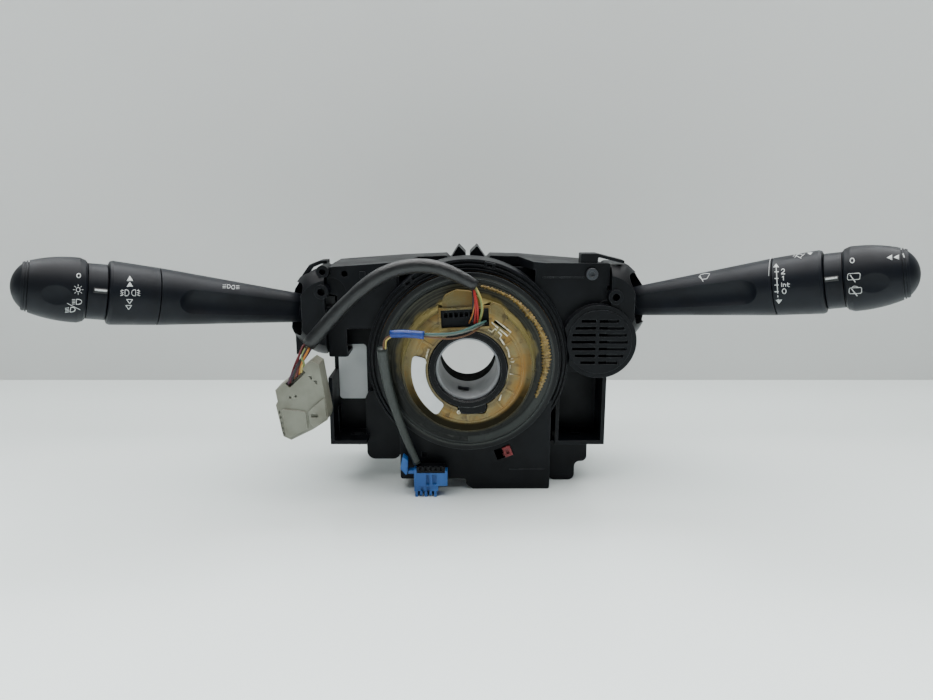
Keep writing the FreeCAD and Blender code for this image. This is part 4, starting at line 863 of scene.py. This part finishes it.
marks = {
    ("left", "knob"): {"body": "left_light_knob", "strokes": [
        (arcLine(78.7, 275.6, 1.9, 2), 0.9), (arcLine(78.2, 289.7, 2, 2.2), 0.65),
        *rays8(78.2, 289.7, 3.4, 5.2, 0.55), (lamp(76.3, 301.8, 5.4, 2.5), 0.7),
        *bars(72, 75.2, (299.5, 301, 302.5, 304), 0.5),
        (lamp(70.4, 309.6, 4.8, 2.3, 0.4), 0.7), *bars(65.2, 69, (307.6, 309, 310.4, 311.7), 0.5, 0.7),
        ([(67, 303.2), (80.2, 309.8)], 0.5)]},
    ("left", "neck"): {"body": "left_stalk", "strokes": [([(94.8, 289.8), (107.2, 291)], 1.8)]},
    ("left", "ring"): {"body": "left_ring", "strokes": [
        (lamp(125, 292.8, 4, 3), 0.6), (lamp(135.6, 292.8, -4, 3), 0.6),
        *bars(120.2, 123.6, (290.3, 292.5, 294.7), 0.55, 0.9), *bars(140.2, 136.8, (290.3, 292.5, 294.7), 0.55, 0.9),
        ([(122.2, 289.4), (121.4, 291.5), (122.4, 293.6), (121.6, 296)], 0.5),
        ([(138.4, 289.4), (139.2, 291.5), (138.2, 293.6), (139, 296)], 0.5),
        ([(126.6, 299.5), (132.6, 299.5), (129.6, 303.6), (126.6, 299.5)], 0.65),
        ([(125.8, 305.4), (131.8, 305.4), (128.6, 309.5), (125.8, 305.4)], 0.65)],
        "fills": [((129.9, 275.8), (126.5, 281), (133.3, 281)), ((129.9, 281.8), (126.6, 286.7), (133.2, 286.7))]},
    ("left", "arm"): {"body": "left_stalk", "strokes": [
        (lamp(227.4, 286.4, 3, 1.8), 0.45), (lamp(234.4, 287.2, -3, 1.8), 0.45),
        *bars(222.6, 226.2, (284.9, 286.4, 287.9), 0.4), *bars(239.4, 235.8, (285.8, 287.3, 288.8), 0.4)]},
    ("right", "arm"): {"body": "right_stalk", "strokes": [
        ([(698.8, 276.8), (701.2, 274.4), (705.4, 273.6), (709.8, 273.6), (708.2, 276.6), (706.8, 278.8),
          (702.2, 279.4), (698.8, 276.8)], 0.5),
        ([(700, 276), (703.2, 281.6)], 0.7)]},
    ("right", "ring"): {"body": "right_stalk", "strokes": [
        ([(776.2, 266.8), (777.7, 293.4)], 0.9), ([(777.7, 295.3), (777.9, 297.2)], 0.9),
        ([(778.1, 299), (778.2, 300.2)], 0.9),
        *bars(774.4, 778.6, (271.8, 278.4, 285, 291.6), 0.8, 0.1),
        ([(781.3, 270.3), (782, 269.3), (783.2, 268.9), (784.4, 269.6), (784.3, 271.1), (781.2, 274),
          (785, 273.9)], 0.85),
        ([(782, 277.3), (783.4, 276.1), (783.5, 280.4)], 0.85), ([(781.6, 282.7), (781.8, 286.8)], 0.8),
        ([(783.4, 286.8), (783.3, 284.3), (784.6, 283.9), (785.7, 284.7), (785.8, 286.7)], 0.75),
        ([(787.6, 282.6), (787.8, 286), (788.5, 286.7), (789.6, 286.5)], 0.75), ([(786.6, 284.2), (789.6, 284)], 0.6),
        (arcLine(784.2, 291.2, 1.9, 2.4), 0.85),
        (arcLine(799.4, 256.4, 3.6, 2.4, 170, 340, 9), 0.55), ([(796, 255.6), (801.4, 258.4)], 0.7),
        ([(793, 256.6), (795, 254.6)], 0.45),
        ([(794.6, 258), (797.4, 253.8)], 0.45), ([(800.6, 257.2), (804.8, 253.6)], 0.45),
        ([(770.9, 257), (769.6, 262), (769, 270), (768.8, 276)], 0.45)],
        "fills": [((776.1, 263.6), (773, 267.3), (779.2, 267.2)), ((778.9, 303.9), (775.5, 299.9), (782.2, 299.6)),
                  ((810.2, 254.9), (807, 252.7), (812.8, 252.4))]},
    ("right", "neck"): {"body": "right_stalk", "strokes": [([(825.2, 279.2), (837.4, 277.6)], 1.8)]},
    ("right", "knob"): {"body": "right_wiper_knob", "strokes": [
        (arcLine(852.2, 260.5, 2, 2.3), 0.95),
        ([(848.6, 273.7), (859.2, 273.1), (860.2, 274.2), (859.8, 278.6), (858.6, 279.4), (848.4, 280), (847.3, 278.8),
          (847.7, 274.6), (848.6, 273.7)], 0.6),
        ([(850, 274.8), (855.3, 282.2)], 0.85),
        ([(850.2, 288), (860.6, 287.4), (861.7, 288.5), (861.6, 292.4), (860.4, 293.3), (850.2, 293.8), (849, 292.7),
          (849.2, 289), (850.2, 288)], 0.6),
        ([(851.4, 288.6), (857.2, 296)], 0.85), (arcLine(855, 288, 3, 1.9, 190, 350, 8), 0.5),
        ([(903, 253.6), (904.4, 257.8)], 1.1)],
        "fills": [((886.6, 257.7), (892, 254.8), (892.2, 260.2)), ((893.6, 257.3), (899, 254.5), (899.2, 259.9))]},
}

# printed paint, a little worn through, and painted shade: the black of the slots that the marks at the necks stand in
markFilm = {
    "paint": {"color": (205, 209, 208), "color2": (160, 164, 164)},
    "black": {"color": (9, 10, 13), "color2": (14, 15, 18)},
    "both": {"noise": (1800.0, 2.0), "spread": (0.5, 0.7), "rough": (0.3, 0.7, 0.42, 0.6)},
    "thick": 0.00005, "slotShadeThick": 0.00001, "slotShadeWidth": 5.2,
    "slots": {"left": [(93.6, 290.2), (107.9, 291.6)], "right": [(824.0, 279.8), (838.6, 278.2)]},
}


def putFilm(name, parts, body, finish, thick):
    # a thin film of paint that stands off the surface
    piece = putMesh(name, *parts, body, finish)
    film = piece.modifiers.new("film", "SOLIDIFY")
    film.thickness = thick
    film.offset = 1.0


markPaint = speckled("markPaint", {**markFilm["both"], **markFilm["paint"]})
slotShade = speckled("slotShade", {**markFilm["both"], **markFilm["black"]})
# painted shade: a thin black film in each neck slot, beneath the white dash
for side, line in markFilm["slots"].items():
    putFilm(side + "NeckSlotShade", strokeParts(line, markFilm["slotShadeWidth"], side, "neck"), side + "_stalk", slotShade,
            markFilm["slotShadeThick"])
for (side, kind), group in marks.items():
    parts = [strokeParts(points, width, side, kind) for points, width in group["strokes"]]
    parts += [fillParts(corners, side, kind) for corners in group.get("fills", ())]
    putFilm(side + kind.capitalize() + "Marks", gather(parts), group["body"], markPaint, markFilm["thick"])
print("marks:", len(marks), "sets")

# grease on the cover: a ribbon with a wavy width and a domed section, from angle to angle about the axis; each wave is
# (size, turns in each degree, start)
greaseRibbon = {
    "angles": [9, 16, 23.5, 30, 36.7, 43, 50, 57, 63.8, 73.3, 85.7, 95, 104.3, 111, 117],
    "middle": [39.6, 39.3, 39.2, 39.3, 39.4, 39.0, 38.9, 39.3, 39.6, 39.5, 39.0, 38.6, 38.0, 37.9, 38.1],
    "width": [0.7, 1.1, 0.9, 1.2, 1.5, 1.9, 2.6, 1.7, 1.9, 3.2, 3.9, 2.6, 2.2, 1.4, 1.1],
    "middleWaves": ((0.16, 1.9, 0.0), (0.1, 5.3, 1.0)), "widthWaves": ((0.3, 2.7, 0.0), (0.2, 7.1, 2.0)),
    "thickWaves": ((0.3, 3.3, 0.0),), "thick": 0.5, "face": -1.45, "rows": 260, "columns": 11, "taper": 1.5,
    "base": 0.00025,
}
greaseLook = {"noise": (380.0, 4.0), "spread": (0.35, 0.65), "color": (104, 86, 42), "color2": (152, 128, 72),
              "rough": (0.3, 0.7, 0.25, 0.5), "bump": (0.7, 0.0004),
              "shader": {"Subsurface Weight": 0.15, "Subsurface Radius": (0.002, 0.001, 0.0004)}}


def greaseParts(g):
    def waves(name):
        return sum(size * np.sin(a * turns + start) for size, turns, start in g[name])
    a = np.linspace(g["angles"][0], g["angles"][-1], g["rows"])
    middle = np.interp(a, g["angles"], g["middle"]) + waves("middleWaves")
    half = 0.5 * np.interp(a, g["angles"], g["width"]) * (1 + waves("widthWaves"))
    half *= np.sqrt(np.clip(np.minimum(a - a[0], a[-1] - a) / g["taper"], 0.02, 1))
    s = np.linspace(-1, 1, g["columns"])[None, :]
    r = middle[:, None] + half[:, None] * s
    height = g["thick"] * np.minimum(1, half)[:, None] * (1 - s ** 2) * (1 + waves("thickWaves"))[:, None]
    turn = np.radians(a)[:, None] + 0 * s
    top = np.stack([r * np.sin(turn), g["face"] - height, r * np.cos(turn)], 2).reshape(-1, 3)
    return top, gridFaces(g["rows"], g["columns"])


grease = putMesh("coverGrease", *greaseParts(greaseRibbon), "rotor", speckled("thickGrease", greaseLook))
grease.modifiers.new("body", "SOLIDIFY").thickness = greaseRibbon["base"]
print("grease laid")

# stage: a pale table, the pale wall behind it, and soft light from above and behind; the stage is in millimetres, and
# the lights are in metres and watts
stage = {
    "floor": -68.0, "wall": 225.0, "wallTop": 400.0, "reach": 2600.0,
    "tablePaint": {"color": (240, 249, 248), "color2": (235.2, 244.02, 243.04), "rough": 0.22},
    "wallPaint": {"color": (223, 225, 224), "color2": (218.54, 220.5, 219.52), "rough": 0.8},
    "clouds": {"noise": (3.0, 3.0), "spread": (0.3, 0.7)},
}
lights = {
    "skyPanel": {"place": (0.0, -0.2, 1.5), "aim": (0.0, 0.0, 0.0), "size": (2.4, 1.2), "power": 47.0,
                 "color": (1.0, 0.99, 0.975)},
    "backPanel": {"place": (0.0, 0.85, 1.4), "aim": (0.0, -0.05, 0.0), "size": (2.4, 0.7), "power": 68.0,
                  "color": (0.97, 0.99, 1.0)},
    "frontFill": {"place": (-0.5, -1.5, 0.7), "aim": (0.0, 0.0, 0.0), "size": (1.6, 1.0), "power": 1.1,
                  "color": (0.9, 0.95, 1.0)},
}
room = {"color": (0.86, 0.9, 0.94, 1), "light": 0.12, "seen": 0.5}


def clearFromBehind(mat):
    # a camera behind the wall looks through its back
    tree = mat.node_tree
    shader, out = (next(node for node in tree.nodes if node.type == kind)
                   for kind in ("BSDF_PRINCIPLED", "OUTPUT_MATERIAL"))
    behind = times(tree, put(tree, "ShaderNodeNewGeometry").outputs["Backfacing"],
                   put(tree, "ShaderNodeLightPath").outputs["Is Camera Ray"])
    clear = put(tree, "ShaderNodeBsdfTransparent").outputs["BSDF"]
    seen = put(tree, "ShaderNodeMixShader", {0: behind, 1: shader.outputs["BSDF"], 2: clear})
    dress(tree, out, {"Surface": seen.outputs["Shader"]})
    return mat


def stagePlane(name, corners, finish):
    mesh = bpy.data.meshes.new(name)
    mesh.from_pydata([[v / 1000 for v in p] for p in corners], [], [(0, 1, 2, 3)])
    obj = bpy.data.objects.new(name, mesh)
    obj.data.materials.append(finish)
    bpy.context.scene.collection.objects.link(obj)


def softLight(name, light):
    data = bpy.data.lights.new(name, "AREA")
    data.shape = "RECTANGLE"
    data.size, data.size_y = light["size"]
    data.energy = light["power"]
    data.color = light["color"]
    obj = bpy.data.objects.new(name, data)
    obj.location = light["place"]
    x, y, z = np.array(light["aim"]) - np.array(light["place"])
    obj.rotation_euler = (math.atan2(math.hypot(x, y), -z), 0, math.atan2(y, x) - math.pi / 2)
    bpy.context.scene.collection.objects.link(obj)


def makeRoom(look):
    # the room is dim for the light it gives, and pale where the camera sees it past the table
    world = bpy.data.worlds.new("room")
    bpy.context.scene.world = world
    world.use_nodes = True
    tree = world.node_tree
    seen = times(tree, put(tree, "ShaderNodeLightPath").outputs["Is Camera Ray"], look["seen"])
    dress(tree, tree.nodes["Background"], {"Color": look["color"], "Strength": sums(tree, "ADD", seen, look["light"])})


reach, floor, wall, top = stage["reach"], stage["floor"], stage["wall"], stage["wallTop"]
stagePlane("table", [(-reach, -reach, floor), (reach, -reach, floor), (reach, wall, floor), (-reach, wall, floor)],
           speckled("tablePaint", {**stage["clouds"], **stage["tablePaint"]}))
stagePlane("wall", [(-reach, wall, floor), (reach, wall, floor), (reach, wall, top), (-reach, wall, top)],
           clearFromBehind(speckled("wallPaint", {**stage["clouds"], **stage["wallPaint"]})))
for name, light in lights.items():
    softLight(name, light)
makeRoom(room)
print("stage and lights set")
